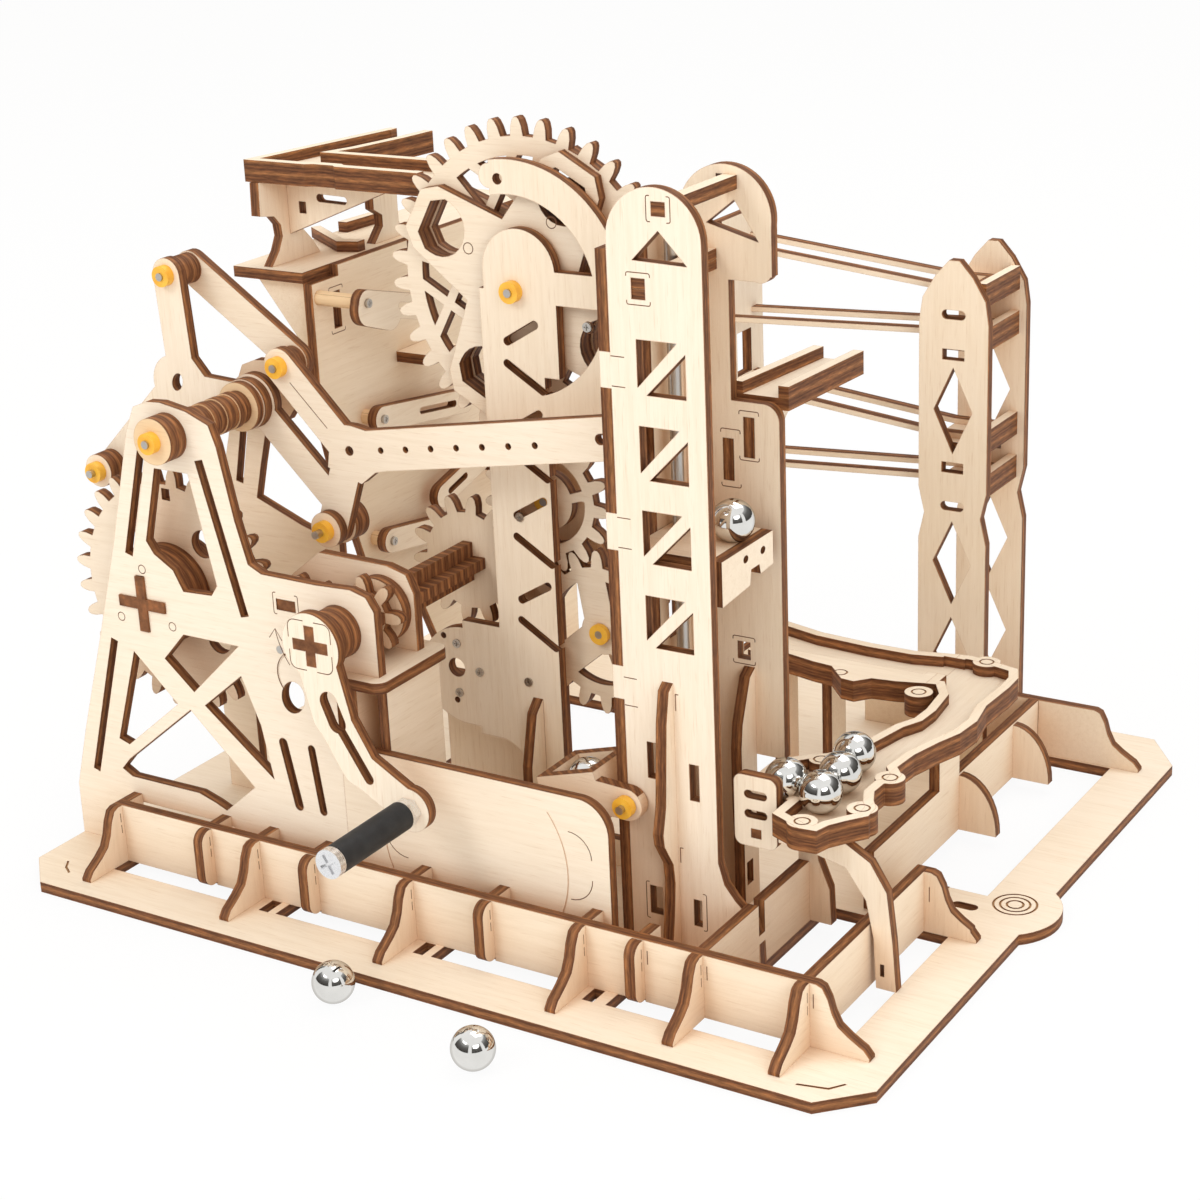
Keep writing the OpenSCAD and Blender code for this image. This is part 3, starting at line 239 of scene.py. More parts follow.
@dataclass(frozen=True)
class PlyFinish:
    """Pale birch ply with laser burnt edges, for one sheet or stack of sheets.

    Attributes:
        name: The node that it dresses.
        faces: The way its pale faces look.
        grain: The way its face veneer runs.
        zones: Boxes where the pale faces look another way.
        engraved: The levels in mm of its two outer faces, if a flat face between them is a groove's floor.
        unburnt: A box where the borders aren't singed.
        seed: What shifts its pattern, so that no two sheets match.
        warm: How much more of the toasted colour it has.
    """

    name: str
    faces: Faces = Faces.Y
    grain: Grain = Grain.X
    zones: tuple[Zone, ...] = ()
    engraved: Spot | None = None
    unburnt: Zone | None = None
    seed: float = 0.0
    warm: float = 0.0
    pale: Colour = colour(247, 233, 214)
    toast: Colour = colour(232, 206, 168)
    cloud_scale: float = 22.0
    line_scale: float = 900.0
    fleck_scale: float = 2600.0
    relief_scale: float = 1400.0
    streak_scale: float = 260.0
    # Colour of the painted shade that darkens the faces in corners and between parts.
    shade: Colour = colour(208, 152, 88)
    singe: Colour = colour(168, 118, 74)
    groove: Colour = colour(176, 132, 88)
    groove_skin: float = 0.05
    edge_limit: float = 0.72
    # How far in mm the painted shade looks for nearby parts, and below which openness it starts.
    painted_shade_reach: float = 30.0
    painted_shade_start: float = 0.66
    singe_radius: float = 0.34
    singe_share: float = 0.55

    def face_mask(self, tree: Tree, normal: Socket, spot: Socket) -> tuple[Socket, Socket]:
        """Find the pale faces.

        Args:
            tree: The material's tree.
            normal: The surface's own normal.
            spot: The point on the object.

        Returns:
            A number that is 1 on faces and 0 on edges, and the axes that count as faces there.
        """
        axes = tree.add("ShaderNodeCombineXYZ", dict(enumerate(self.faces.value))).outputs[0]
        parts = tree.add("ShaderNodeSeparateXYZ", {0: spot}).outputs
        for zone in self.zones:
            other = tree.add("ShaderNodeCombineXYZ", dict(enumerate(zone.faces.value))).outputs[0]
            choice = {0: zone.mask(tree, parts), 4: axes, 5: other}
            axes = tree.add("ShaderNodeMix", choice, data_type="VECTOR").outputs[1]
        turned = tree.vector("MULTIPLY", tree.vector("ABSOLUTE", normal), axes)
        sides = tree.add("ShaderNodeSeparateXYZ", {0: turned}).outputs
        most = tree.math("MAXIMUM", tree.math("MAXIMUM", sides[0], sides[1]), sides[2])
        return tree.math("GREATER_THAN", most, self.edge_limit), axes

    def edge_colour(self, tree: Tree, spot: Socket, axes: Socket) -> Socket:
        """Colour the burnt edge: dark outer plies, a warmer core, and fine streaks along the sheet.

        Args:
            tree: The material's tree.
            spot: The point on the object.
            axes: The axes that the pale faces look along there.

        Returns:
            The socket of the colour.
        """
        depth = tree.vector("DOT_PRODUCT", spot, axes)
        start = self.engraved[0] * MM if self.engraved else 0.0
        layer = tree.math("FRACT", tree.math("DIVIDE", tree.math("SUBTRACT", depth, start), PLY * MM))
        plies = tree.ramp(layer, BURNT_PLIES)
        stretch = tree.vector("ADD", tree.vector("MULTIPLY", axes, (9.0, 9.0, 9.0)), ONES)
        across = tree.vector("MULTIPLY", spot, stretch)
        streaks = tree.noise(across, self.streak_scale, detail=4.0, rough=0.65)
        char = tree.ramp(streaks, [(0.3, (0.44, 0.39, 0.35)), (0.52, WHITE), (0.74, (1.9, 1.75, 1.5))])
        return tree.multiply(0.85, plies, char)

    def face_colour(self, tree: Tree, spot: Socket) -> Socket:
        """Colour the face veneer: broad warm clouds, long fine grain, short flecks, painted shade in
        corners and between parts, and singed borders.

        Args:
            tree: The material's tree.
            spot: The point on the object.

        Returns:
            The socket of the colour.
        """
        moved = tree.vector("ADD", spot, (self.seed * 0.37, self.seed * 0.21, self.seed * 0.13))
        along = tree.vector("MULTIPLY", moved, self.grain.value)
        clouds = tree.noise(moved, self.cloud_scale, detail=2.0)
        lines = tree.noise(along, self.line_scale, detail=4.0, rough=0.6)
        flecks = tree.noise(along, self.fleck_scale, detail=2.0)
        warmth = tree.math("MULTIPLY_ADD", clouds, 0.5, self.warm - 0.08, clamp=True)
        base = tree.mix(warmth, opaque(self.pale), opaque(self.toast))
        lined = tree.multiply(0.32, base, tree.ramp(lines, [(0.3, (0.84, 0.78, 0.7)), (0.6, WHITE)]))
        dotted = tree.multiply(0.3, lined, tree.ramp(flecks, [(0.28, (0.74, 0.62, 0.5)), (0.4, WHITE)]))
        # Painted shade: where the occlusion finds parts close by, the face colour turns towards the shade
        # colour.
        reach = {"Distance": self.painted_shade_reach * MM}
        open_air = tree.add("ShaderNodeAmbientOcclusion", reach, samples=6).outputs["AO"]
        painted_shade_share = tree.math("SUBTRACT", self.painted_shade_start, open_air, clamp=True)
        painted_shaded = tree.multiply(painted_shade_share, dotted, opaque(self.shade))
        rounded = tree.add("ShaderNodeBevel", {"Radius": self.singe_radius * MM}, samples=4).outputs[0]
        straight = tree.add("ShaderNodeNewGeometry").outputs["Normal"]
        bend = tree.math("SUBTRACT", 1.0, tree.vector("DOT_PRODUCT", rounded, straight))
        singed = tree.math("MULTIPLY", tree.math("MULTIPLY", bend, 9.0, clamp=True), self.singe_share)
        if self.unburnt:
            parts = tree.add("ShaderNodeSeparateXYZ", {0: spot}).outputs
            singed = tree.math("SUBTRACT", singed, self.unburnt.mask(tree, parts), clamp=True)
        return tree.mix(singed, painted_shaded, opaque(self.singe))

    def material(self) -> bpy.types.Material:
        """Build the material.

        Returns:
            The new material.
        """
        material, tree = blank(f"birch_{self.name}")
        coordinates = tree.add("ShaderNodeTexCoord").outputs
        spot, normal = coordinates["Object"], coordinates["Normal"]
        mask, axes = self.face_mask(tree, normal, spot)
        surface = self.face_colour(tree, spot)
        if self.engraved:
            depth = tree.vector("DOT_PRODUCT", spot, axes)
            low = tree.math("GREATER_THAN", depth, (self.engraved[0] + self.groove_skin) * MM)
            high = tree.math("LESS_THAN", depth, (self.engraved[1] - self.groove_skin) * MM)
            surface = tree.mix(tree.math("MULTIPLY", low, high), surface, opaque(self.groove))
        paint = tree.mix(mask, self.edge_colour(tree, spot, axes), surface)
        along = tree.vector("MULTIPLY", spot, self.grain.value)
        relief = tree.noise(along, self.relief_scale, rough=0.6)
        height = {"Strength": 0.12, "Distance": 0.0002, "Height": relief}
        bump = tree.add("ShaderNodeBump", height).outputs[0]
        rough = tree.math("MULTIPLY_ADD", relief, 0.16, 0.52)
        shader = tree.add("ShaderNodeBsdfPrincipled", {
            "Base Color": paint, "Roughness": rough, "Normal": bump, "Specular IOR Level": 0.25})
        tree.add("ShaderNodeOutputMaterial", {0: shader.outputs[0]})
        return material


@dataclass(frozen=True)
class MetalFinish:
    """Bare or polished steel."""

    name: str
    tint: Colour
    roughness: float
    brushed: bool = False
    # Colour of a painted dark reflection towards the rim, where the surface turns away from the view.
    painted_reflection_rim: Colour | None = None
    dull_share: float = 0.86

    def material(self) -> bpy.types.Material:
        """Build the material, with turning marks where it is brushed, faint smears where it is polished,
        and a painted dark reflection towards the rim where a rim colour is given.

        Returns:
            The new material.
        """
        material, tree = blank(f"steel_{self.name}")
        spot = tree.add("ShaderNodeTexCoord").outputs["Object"]
        stretch, scale, spread = ((1.0, 12.0, 1.0), 900.0, 0.14) if self.brushed else (ONES, 160.0, 0.05)
        marks = tree.noise(tree.vector("MULTIPLY", spot, stretch), scale)
        dull = tuple(self.dull_share * level for level in self.tint)
        paint = tree.ramp(marks, [(0.25, dull), (0.7, self.tint)])
        # Painted reflection: the colour darkens towards the rim by how the surface faces the view, in place
        # of mirrored dark surroundings.
        if self.painted_reflection_rim:
            facing = tree.add("ShaderNodeLayerWeight", {"Blend": 0.5}).outputs["Facing"]
            edge = tree.ramp(facing, [(0.5, BLACK), (0.95, WHITE)])
            paint = tree.mix(edge, paint, opaque(self.painted_reflection_rim))
        rough = tree.math("MULTIPLY_ADD", marks, spread, self.roughness)
        shader = tree.add("ShaderNodeBsdfPrincipled", {
            "Base Color": paint, "Roughness": rough, "Metallic": 1.0})
        tree.add("ShaderNodeOutputMaterial", {0: shader.outputs[0]})
        return material


@dataclass(frozen=True)
class PlasticFinish:
    """Moulded plastic or rubber with a fine surface."""

    name: str
    tint: Colour
    shade: Colour
    roughness: float
    pimple: float

    def material(self) -> bpy.types.Material:
        """Build the material, with slow colour drift and a fine moulded grain.

        Returns:
            The new material.
        """
        material, tree = blank(f"moulded_{self.name}")
        spot = tree.add("ShaderNodeTexCoord").outputs["Object"]
        drift = tree.noise(spot, 300.0, detail=2.0)
        paint = tree.ramp(drift, [(0.35, self.shade), (0.65, self.tint)])
        grain = tree.noise(spot, 3200.0, detail=2.0)
        height = {"Strength": self.pimple, "Distance": 0.0001, "Height": grain}
        bump = tree.add("ShaderNodeBump", height).outputs[0]
        rough = tree.math("MULTIPLY_ADD", grain, 0.12, self.roughness)
        shader = tree.add("ShaderNodeBsdfPrincipled", {
            "Base Color": paint, "Roughness": rough, "Normal": bump})
        tree.add("ShaderNodeOutputMaterial", {0: shader.outputs[0]})
        return material


STEEL_PIN = MetalFinish("pin", (0.56, 0.53, 0.49), 0.26, True)
STEEL_BRIGHT = MetalFinish("bright", (0.86, 0.86, 0.87), 0.2, True)
# The balls get a painted dark reflection towards their rim.
STEEL_BALL = MetalFinish("ball", (0.8, 0.79, 0.76), 0.05, painted_reflection_rim=(0.2, 0.17, 0.13))
YELLOW = PlasticFinish("yellow", colour(250, 194, 66), colour(240, 174, 48), 0.32, 0.04)
RUBBER = PlasticFinish("grip", colour(36, 37, 39), colour(26, 27, 29), 0.55, 0.25)
CHAR = PlasticFinish("burnt_line", colour(120, 78, 46), colour(92, 58, 34), 0.7, 0.1)
WASHER = {"pale": colour(240, 214, 176), "toast": colour(212, 168, 118)}


@dataclass
class SheetStock:
    finishes: list[PlyFinish] = field(default_factory=lambda: [
        PlyFinish("base_plate", Faces.Z, Grain.X, engraved=(0.0, PLY), warm=-0.1),
        PlyFinish("front_beam", Faces.Y, Grain.X),
        PlyFinish("front_ribs", Faces.X, Grain.Z),
        PlyFinish("short_ribs", Faces.X, Grain.Z, (Zone(Faces.Y, y=(57.0, 220.0)),)),
        PlyFinish("right_beam_outer", Faces.X, Grain.Y),
        PlyFinish("inner_beams", Faces.X, Grain.Y, (Zone(Faces.Y, y=(181.4, 220.0)),)),
        PlyFinish("tray_leg", Faces.Y, Grain.Z, (Zone(Faces.NONE, x=(180.0, 190.0), y=(49.0, 69.9)),)),
        PlyFinish("front_frame", Faces.Y, Grain.X, warm=-0.2),
        PlyFinish("front_panel", Faces.Y, Grain.X, (
            Zone(Faces.ALL, x=(144.0, 152.5), y=(26.9, 27.4), z=(9.0, 41.0)),
            Zone(Faces.ALL, x=(97.5, 106.0), y=(26.9, 27.4), z=(9.0, 41.0))),
            unburnt=Zone(Faces.ALL, x=(97.5, 152.5), y=(26.9, 27.4), z=(9.0, 41.0)), warm=-0.1),
        PlyFinish("inner_frame", Faces.Y, Grain.X),
        PlyFinish("crank_shelf", Faces.X, Grain.Y, (Zone(Faces.Z, z=(61.6, 70.0)),)),
        PlyFinish("cross_axle", Faces.Y, Grain.Z, (Zone(Faces.NONE, y=(20.0, 27.2)),), warm=0.3),
        PlyFinish("spool", Faces.Y, Grain.X, (
            Zone(Faces.NONE, x=(71.0, 78.3), y=(27.0, 33.5), z=(76.5, 80.0)),
            Zone(Faces.ALL, x=(43.0, 60.0), y=(84.0, 160.0))), **WASHER),
        PlyFinish("gear_wall", Faces.Y, Grain.Z, (Zone(Faces.X, y=(60.0, 73.45)),)),
        PlyFinish("rear_wall", Faces.Y, Grain.Z, warm=0.1),
        PlyFinish("tower_front", Faces.Y, Grain.Z, warm=-0.2),
        PlyFinish("tower_back", Faces.Y, Grain.Z, warm=0.05),
        PlyFinish("tower_side", Faces.X, Grain.Z, warm=0.1),
        PlyFinish("tower_braces", Faces.X, Grain.Z, (Zone(Faces.Z, z=(100.0, 200.0)),)),
        PlyFinish("gate_plate", Faces.Y, Grain.Z),
        PlyFinish("rail_tower", Faces.Y, Grain.Z, warm=0.05),
        PlyFinish("rail_shelves", Faces.Z, Grain.X),
        PlyFinish("rails", Faces.Y, Grain.X),
        PlyFinish("rail_post", Faces.X, Grain.Z),
        PlyFinish("lower_track_floor", Faces.X, Grain.X, (Zone(Faces.Z, z=(37.1, 50.0)),)),
        PlyFinish("lower_track_walls", Faces.Z, Grain.X, engraved=(40.0, 40.0 + PLY)),
        PlyFinish("tray_floor", Faces.Z, Grain.Y),
        PlyFinish("tray_walls", Faces.Z, Grain.Y, engraved=(40.0, 40.0 + PLY)),
        PlyFinish("side_track", Faces.Z, Grain.Y, (Zone(Faces.X, z=(90.0, 124.2)),)),
        PlyFinish("flipper_wall", Faces.X, Grain.Y, (Zone(Faces.Z, x=(44.05, 60.0)),), warm=0.15),
        PlyFinish("top_shelf", Faces.Y, Grain.Y, (Zone(Faces.Z, z=(139.1, 150.0)),)),
        PlyFinish("top_post", Faces.X, Grain.Z, (Zone(Faces.Y, x=(30.01, 80.0), y=(95.4, 98.4)),)),
        PlyFinish("top_track_floor", Faces.Z, Grain.X),
        PlyFinish("top_track_walls", Faces.Z, Grain.X),
        PlyFinish("crank_arm", Faces.Y, Grain.Z, warm=-0.2),
        PlyFinish("crank_shaft", Faces.Y, Grain.Z, (Zone(Faces.NONE, y=(10.0, 16.1)),), warm=0.2),
        PlyFinish("idler_gear", Faces.Y, Grain.X),
        PlyFinish("drive_gear", Faces.Y, Grain.X),
        PlyFinish("gear_a", Faces.Y, Grain.X),
        PlyFinish("gear_b", Faces.Y, Grain.X),
        PlyFinish("lift_wheel", Faces.Y, Grain.X),
        PlyFinish("swing_lever", Faces.Y, Grain.X, warm=-0.1),
        PlyFinish("rocker", Faces.Y, Grain.Z, warm=-0.1),
        PlyFinish("link", Faces.Y, Grain.X),
        PlyFinish("carriage", Faces.Z, Grain.X, (Zone(Faces.X, x=(177.3, 182.0)),)),
        PlyFinish("flipper_1", Faces.X, Grain.Y),
        PlyFinish("flipper_2", Faces.X, Grain.Y),
        PlyFinish("flipper_3", Faces.X, Grain.Y),
        PlyFinish("flipper_4", Faces.X, Grain.Y),
        PlyFinish("bucket", Faces.XY, Grain.X, (Zone(Faces.ALL, y=(44.8, 55.8), z=(20.0, 35.5)),)),
    ])

    def build(self) -> list[str]:
        """Give each ply node its own sheet of birch.

        Returns:
            The names of the nodes.
        """
        for number, finish in enumerate(self.finishes):
            coat(finish.name, replace(finish, seed=float(number)).material())
        return [finish.name for finish in self.finishes]


@dataclass
class Hardware:
    pins: tuple[str, ...] = ("fixed_rods", "swing_pins")
    marbles: tuple[str, ...] = ("wheel_ball", "carriage_ball", "bucket_ball", "balls")
    rings: tuple[str, ...] = ("fixed_rings", "swing_rings")
    screws: tuple[str, ...] = ("grip_screw",)
    sleeves: tuple[str, ...] = ("grip_sleeve",)

    def build(self) -> list[str]:
        """Give each of these nodes its finish.

        Returns:
            The names of the nodes.
        """
        finishes = {
            STEEL_PIN: self.pins, STEEL_BRIGHT: self.screws, STEEL_BALL: self.marbles,
            YELLOW: self.rings, RUBBER: self.sleeves}
        for finish, nodes in finishes.items():
            material = finish.material()
            for node in nodes:
                coat(node, material)
        return [node for nodes in finishes.values() for node in nodes]


def coat(node: str, material: bpy.types.Material) -> None:
    """Put one material on a CAD node."""
    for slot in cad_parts[node].material_slots:
        slot.material = material


@dataclass(frozen=True)
class Side:
    """A flat side of a sheet: the body it rides on, its axis, its level in mm and which way it looks."""

    body: str
    axis: str
    level: float
    looks: int

    def point(self, u: float, v: float, depth: float) -> Vector:
        """Find a point of this side.

        Args:
            u: Its first place on the side, in mm.
            v: Its second place, in mm.
            depth: How far it lies below the side, in mm.

        Returns:
            The point in the row frame, in metres.
        """
        level = self.level - self.looks * depth
        spots = {"x": (level, u, v), "y": (u, level, v), "z": (u, v, level)}
        return place(*spots[self.axis])


Slot = tuple[Side, Spot, Spot, bool]
Mark = tuple[Side, list[Spot]]

FRAME_FRONT = Side("frame", "y", 27.0, -1)
BEAM_FRONT = Side("frame", "y", 19.4, -1)
TOWER_FRONT = Side("frame", "y", 45.0, -1)
TOWER_BACK = Side("frame", "y", 76.0, -1)
GEAR_WALL = Side("frame", "y", 73.5, -1)
FLIPPER_WALL = Side("frame", "x", 44.0, 1)
HUB_FRONT = Side("crank", "y", 16.0, -1)
STAR_FRONT = Side("wheel", "y", 77.2, -1)
LEVER_FRONT = Side("lever", "y", 58.2, -1)
REAR_BEAM = Side("frame", "y", 77.2, -1)


def arc(centre: Spot, radius: float, start: float, end: float, steps: int = 8) -> list[Spot]:
    """Return the points of an arc, with its angles in degrees."""
    angles = [math.radians(start + (end - start) * i / steps) for i in range(steps + 1)]
    return [(centre[0] + radius * math.cos(a), centre[1] + radius * math.sin(a)) for a in angles]


def bracket(a: Spot, b: Spot, hook: float) -> list[Spot]:
    """Draw a line from a to b with turned ends.

    Args:
        a: The line's start.
        b: Its end.
        hook: How far the ends turn to its left, in mm, or to its right where it is negative.

    Returns:
        The points of the line.
    """
    bend, cut, ahead = 0.45, 0.13, 0.135
    run = Vector((b[0] - a[0], b[1] - a[1])).normalized()
    side = Vector((-run.y, run.x)) * hook
    ends = []
    for spot, way in ((Vector(a), run * abs(hook)), (Vector(b), -run * abs(hook))):
        corner = spot + side * cut + way * ahead
        ends.append([spot + side, spot + side * bend, corner, spot + way * bend])
    return [tuple(p) for p in ends[0] + ends[1][::-1]]


@dataclass
class BurntLines:
    """The thin lines that the laser drew on the sheets, in mm.

    Attributes:
        slots: The side, the low corner and the high corner of each slot, and whether its brackets stand
            left and right of it, and not above and below.
    """

    radius: float = 0.24
    sides: int = 8
    proud: float = 0.05
    slot_margin: float = 1.2
    hook: float = 0.9
    slots: tuple[Slot, ...] = (
        (TOWER_FRONT, (162.4, 155.8), (165.8, 160.4), False),
        (TOWER_FRONT, (167.9, 173.9), (171.3, 177.0), True),
        (TOWER_FRONT, (161.6, 9.6), (175.2, 16.6), True),
        (TOWER_BACK, (168.8, 63.6), (172.2, 68.0), False),
        (TOWER_BACK, (166.9, 106.7), (169.5, 118.0), False),
        (TOWER_BACK, (171.7, 113.5), (174.3, 122.7), False),
        (FRAME_FRONT, (72.6, 76.9), (77.6, 79.9), True),
        (FLIPPER_WALL, (92.8, 126.0), (96.0, 135.6), False))
    tab_span: Spot = (156.6, 160.0)
    tab_levels: tuple[float, ...] = (136.1, 142.8, 99.2, 106.2, 61.4, 68.2)
    foot_span: Spot = (169.9, 170.7)
    foot_levels: tuple[Spot, ...] = ((62.4, 66.4), (24.6, 28.4))
    frame_ring: float = 1.1
    frame_pins: tuple[Spot, ...] = ((22.2, 66.7), (30.8, 80.4), (38.7, 66.7))
    star_ring: float = 1.35
    star_pins: tuple[Spot, ...] = ((121.9, 162.5), (98.2, 154.6), (130.8, 138.7))
    hub: Spot = (90.5, 74.5)
    arrow_radius: float = 19.5
    arrow_angles: Spot = (188.0, 216.0)
    panel_corner: float = 6.0
    panel_corners: tuple[Spot, ...] = ((151.3, 30.3), (105.6, 30.3), (105.6, 25.2), (151.3, 25.2))
    lever_line: tuple[Spot, Spot] = ((56.4, 122.2), (66.8, 111.9))
    rear_tick: tuple[Spot, Spot] = ((217.2, 10.8), (217.2, 14.6))
    rib_tick: float = 18.4
    rib_tick_levels: tuple[Spot, ...] = ((11.0, 13.2), (14.0, 16.4))
    front_tick_gap: float = 0.9
    front_tick_levels: Spot = (12.4, 15.8)
    front_ticks_from: float = 160.0
    ribs: tuple[float, ...] = (19.3, 48.5, 63.6, 81.0, 109.5, 131.7, 157.0, 172.0, 187.1, 213.0)
    bodies: tuple[str, ...] = ("frame", "crank", "wheel", "lever")

    def slot_marks(self) -> list[Mark]:
        """Draw the two brackets at each slot.

        Returns:
            Each line's side and points.
        """
        marks = []
        for side, low, high, upright in self.slots:
            left, right = low[0] - self.slot_margin, high[0] + self.slot_margin
            bottom, top = low[1] - self.slot_margin, high[1] + self.slot_margin
            lines = [((left, bottom), (right, bottom)), ((right, top), (left, top))]
            if upright:
                lines = [((left, top), (left, bottom)), ((right, bottom), (right, top))]
            marks += [(side, bracket(start, end, self.hook)) for start, end in lines]
        return marks

    def tower_marks(self) -> list[Mark]:
        """Draw the lines at the tower's tabs and foot.

        Returns:
            Each line's side and points.
        """
        lines = [[(x, z) for x in self.tab_span] for z in self.tab_levels]
        left, right = self.foot_span
        for low, high in self.foot_levels:
            lines += [[(left, low), (left, high)], [(left, high), (right, high)]]
        return [(TOWER_FRONT, line) for line in lines]

    def frame_marks(self) -> list[Mark]:
        """Draw the marks of the front frame: pin rings, turning arrow and panel corners.

        Returns:
            Each line's side and points.
        """
        lines = [arc(spot, self.frame_ring, 0.0, 360.0, 14) for spot in self.frame_pins]
        turn = arc(self.hub, self.arrow_radius, *self.arrow_angles, 12)
        tip = turn[0]
        lines += [turn, [(tip[0] - 2.0, tip[1] - 2.6), tip, (tip[0] + 1.8, tip[1] - 2.9)]]
        for quarter, centre in enumerate(self.panel_corners):
            lines.append(arc(centre, self.panel_corner, 90.0 * quarter, 90.0 * quarter + 90.0))
        return [(FRAME_FRONT, line) for line in lines]

    def rib_marks(self) -> list[Mark]:
        """Draw the short ticks where the ribs cross the beams.

        Returns:
            Each line's side and points.
        """
        marks = []
        for x in self.ribs:
            side = Side("frame", "x", x + PLY, 1)
            for levels in self.rib_tick_levels:
                marks.append((side, [(self.rib_tick, z) for z in levels]))
            if x > self.front_ticks_from:
                beside = x + PLY + self.front_tick_gap
                marks.append((BEAM_FRONT, [(beside, z) for z in self.front_tick_levels]))
        marks.append((REAR_BEAM, list(self.rear_tick)))
        return marks

    def moving_marks(self) -> list[Mark]:
        """Draw the marks of the crank's hub, the wheel and the lever.

        Returns:
            Each line's side and points.
        """
        marks = []
        corner, rounding, reach = 4.2, 1.9, 1.5
        bend = arc((corner, corner), rounding, 90.0, 0.0, 5)
        bow = [(reach, corner + rounding), *bend, (corner + rounding, reach)]
        for quarter in range(4):
            turn = Matrix.Rotation(math.radians(90.0 * quarter), 2)
            spots = [turn @ Vector(p) + Vector(self.hub) for p in bow]
            marks.append((HUB_FRONT, [tuple(p) for p in spots]))
        for spot in self.star_pins:
            marks.append((STAR_FRONT, arc(spot, self.star_ring, 0.0, 360.0, 16)))
        marks.append((LEVER_FRONT, list(self.lever_line)))
        return marks

    def tree(self, finish: bpy.types.Material) -> tuple[bpy.types.GeometryNodeTree, str]:
        """Build the tree that gives each drawn edge a thin round body.

        Args:
            finish: The material of the lines.

        Returns:
            The tree, and the identifier of its width.
        """
        group = bpy.data.node_groups.new("burnt_lines", "GeometryNodeTree")
        group.interface.new_socket("Lines", in_out="INPUT", socket_type="NodeSocketGeometry")
        width = group.interface.new_socket("Body radius", in_out="INPUT", socket_type="NodeSocketFloat")
        group.interface.new_socket("Burnt", in_out="OUTPUT", socket_type="NodeSocketGeometry")
        tree = Tree(group)
        given = tree.add("NodeGroupInput")
        curve = tree.add("GeometryNodeMeshToCurve", {"Mesh": given.outputs["Lines"]})
        ring = tree.add("GeometryNodeCurvePrimitiveCircle", {
            "Resolution": self.sides, "Radius": given.outputs["Body radius"]})
        body = tree.add("GeometryNodeCurveToMesh", {
            "Curve": curve.outputs[0], "Profile Curve": ring.outputs[0], "Fill Caps": True})
        plain = tree.add("GeometryNodeRealizeInstances", {"Geometry": body.outputs[0]})
        done = tree.add("GeometryNodeSetMaterial", {"Geometry": plain.outputs[0], "Material": finish})
        tree.add("NodeGroupOutput", {0: done.outputs[0]})
        return group, width.identifier

    def build(self) -> list[str]:
        """Draw all the lines, one mesh for each body.

        Returns:
            The names of the pieces.
        """
        group, width = self.tree(CHAR.material())
        marks = self.slot_marks() + self.tower_marks() + self.frame_marks()
        marks += self.rib_marks() + self.moving_marks()
        for body in self.bodies:
            points, edges = [], []
            for side, spots in marks:
                if side.body != body:
                    continue
                first = len(points)
                points += [side.point(u, v, self.radius - self.proud) for u, v in spots]
                edges += [(i, i + 1) for i in range(first, len(points) - 1)]
            drawn = bpy.data.meshes.new(f"{body}_drawn_lines")
            drawn.from_pydata(points, edges, [])
            piece = grown(f"{body}_burnt_lines", drawn, group, {width: self.radius * MM})
            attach(piece, body)
        return [f"{body}_burnt_lines" for body in self.bodies]


def grown(name: str, drawn: bpy.types.Mesh, group: bpy.types.GeometryNodeTree,
          values: dict[str, object]) -> bpy.types.Object:
    """Run a Geometry Nodes tree on a mesh and keep the result as a plain mesh.

    Args:
        name: The new piece's name.
        drawn: The points or edges that the tree works on.
        group: The tree.
        values: The tree's inputs by socket identifier.

    Returns:
        The new piece, at the origin.
    """
    seedling = show(f"{name}_drawn", drawn)
    modifier = seedling.modifiers.new("grow", "NODES")
    modifier.node_group = group
    for identifier, value in values.items():
        modifier[identifier] = value
    finished = seedling.evaluated_get(bpy.context.evaluated_depsgraph_get())
    mesh = bpy.data.meshes.new_from_object(finished)
    seedling.modifiers.remove(modifier)
    bpy.data.objects.remove(seedling)
    return show(name, mesh)


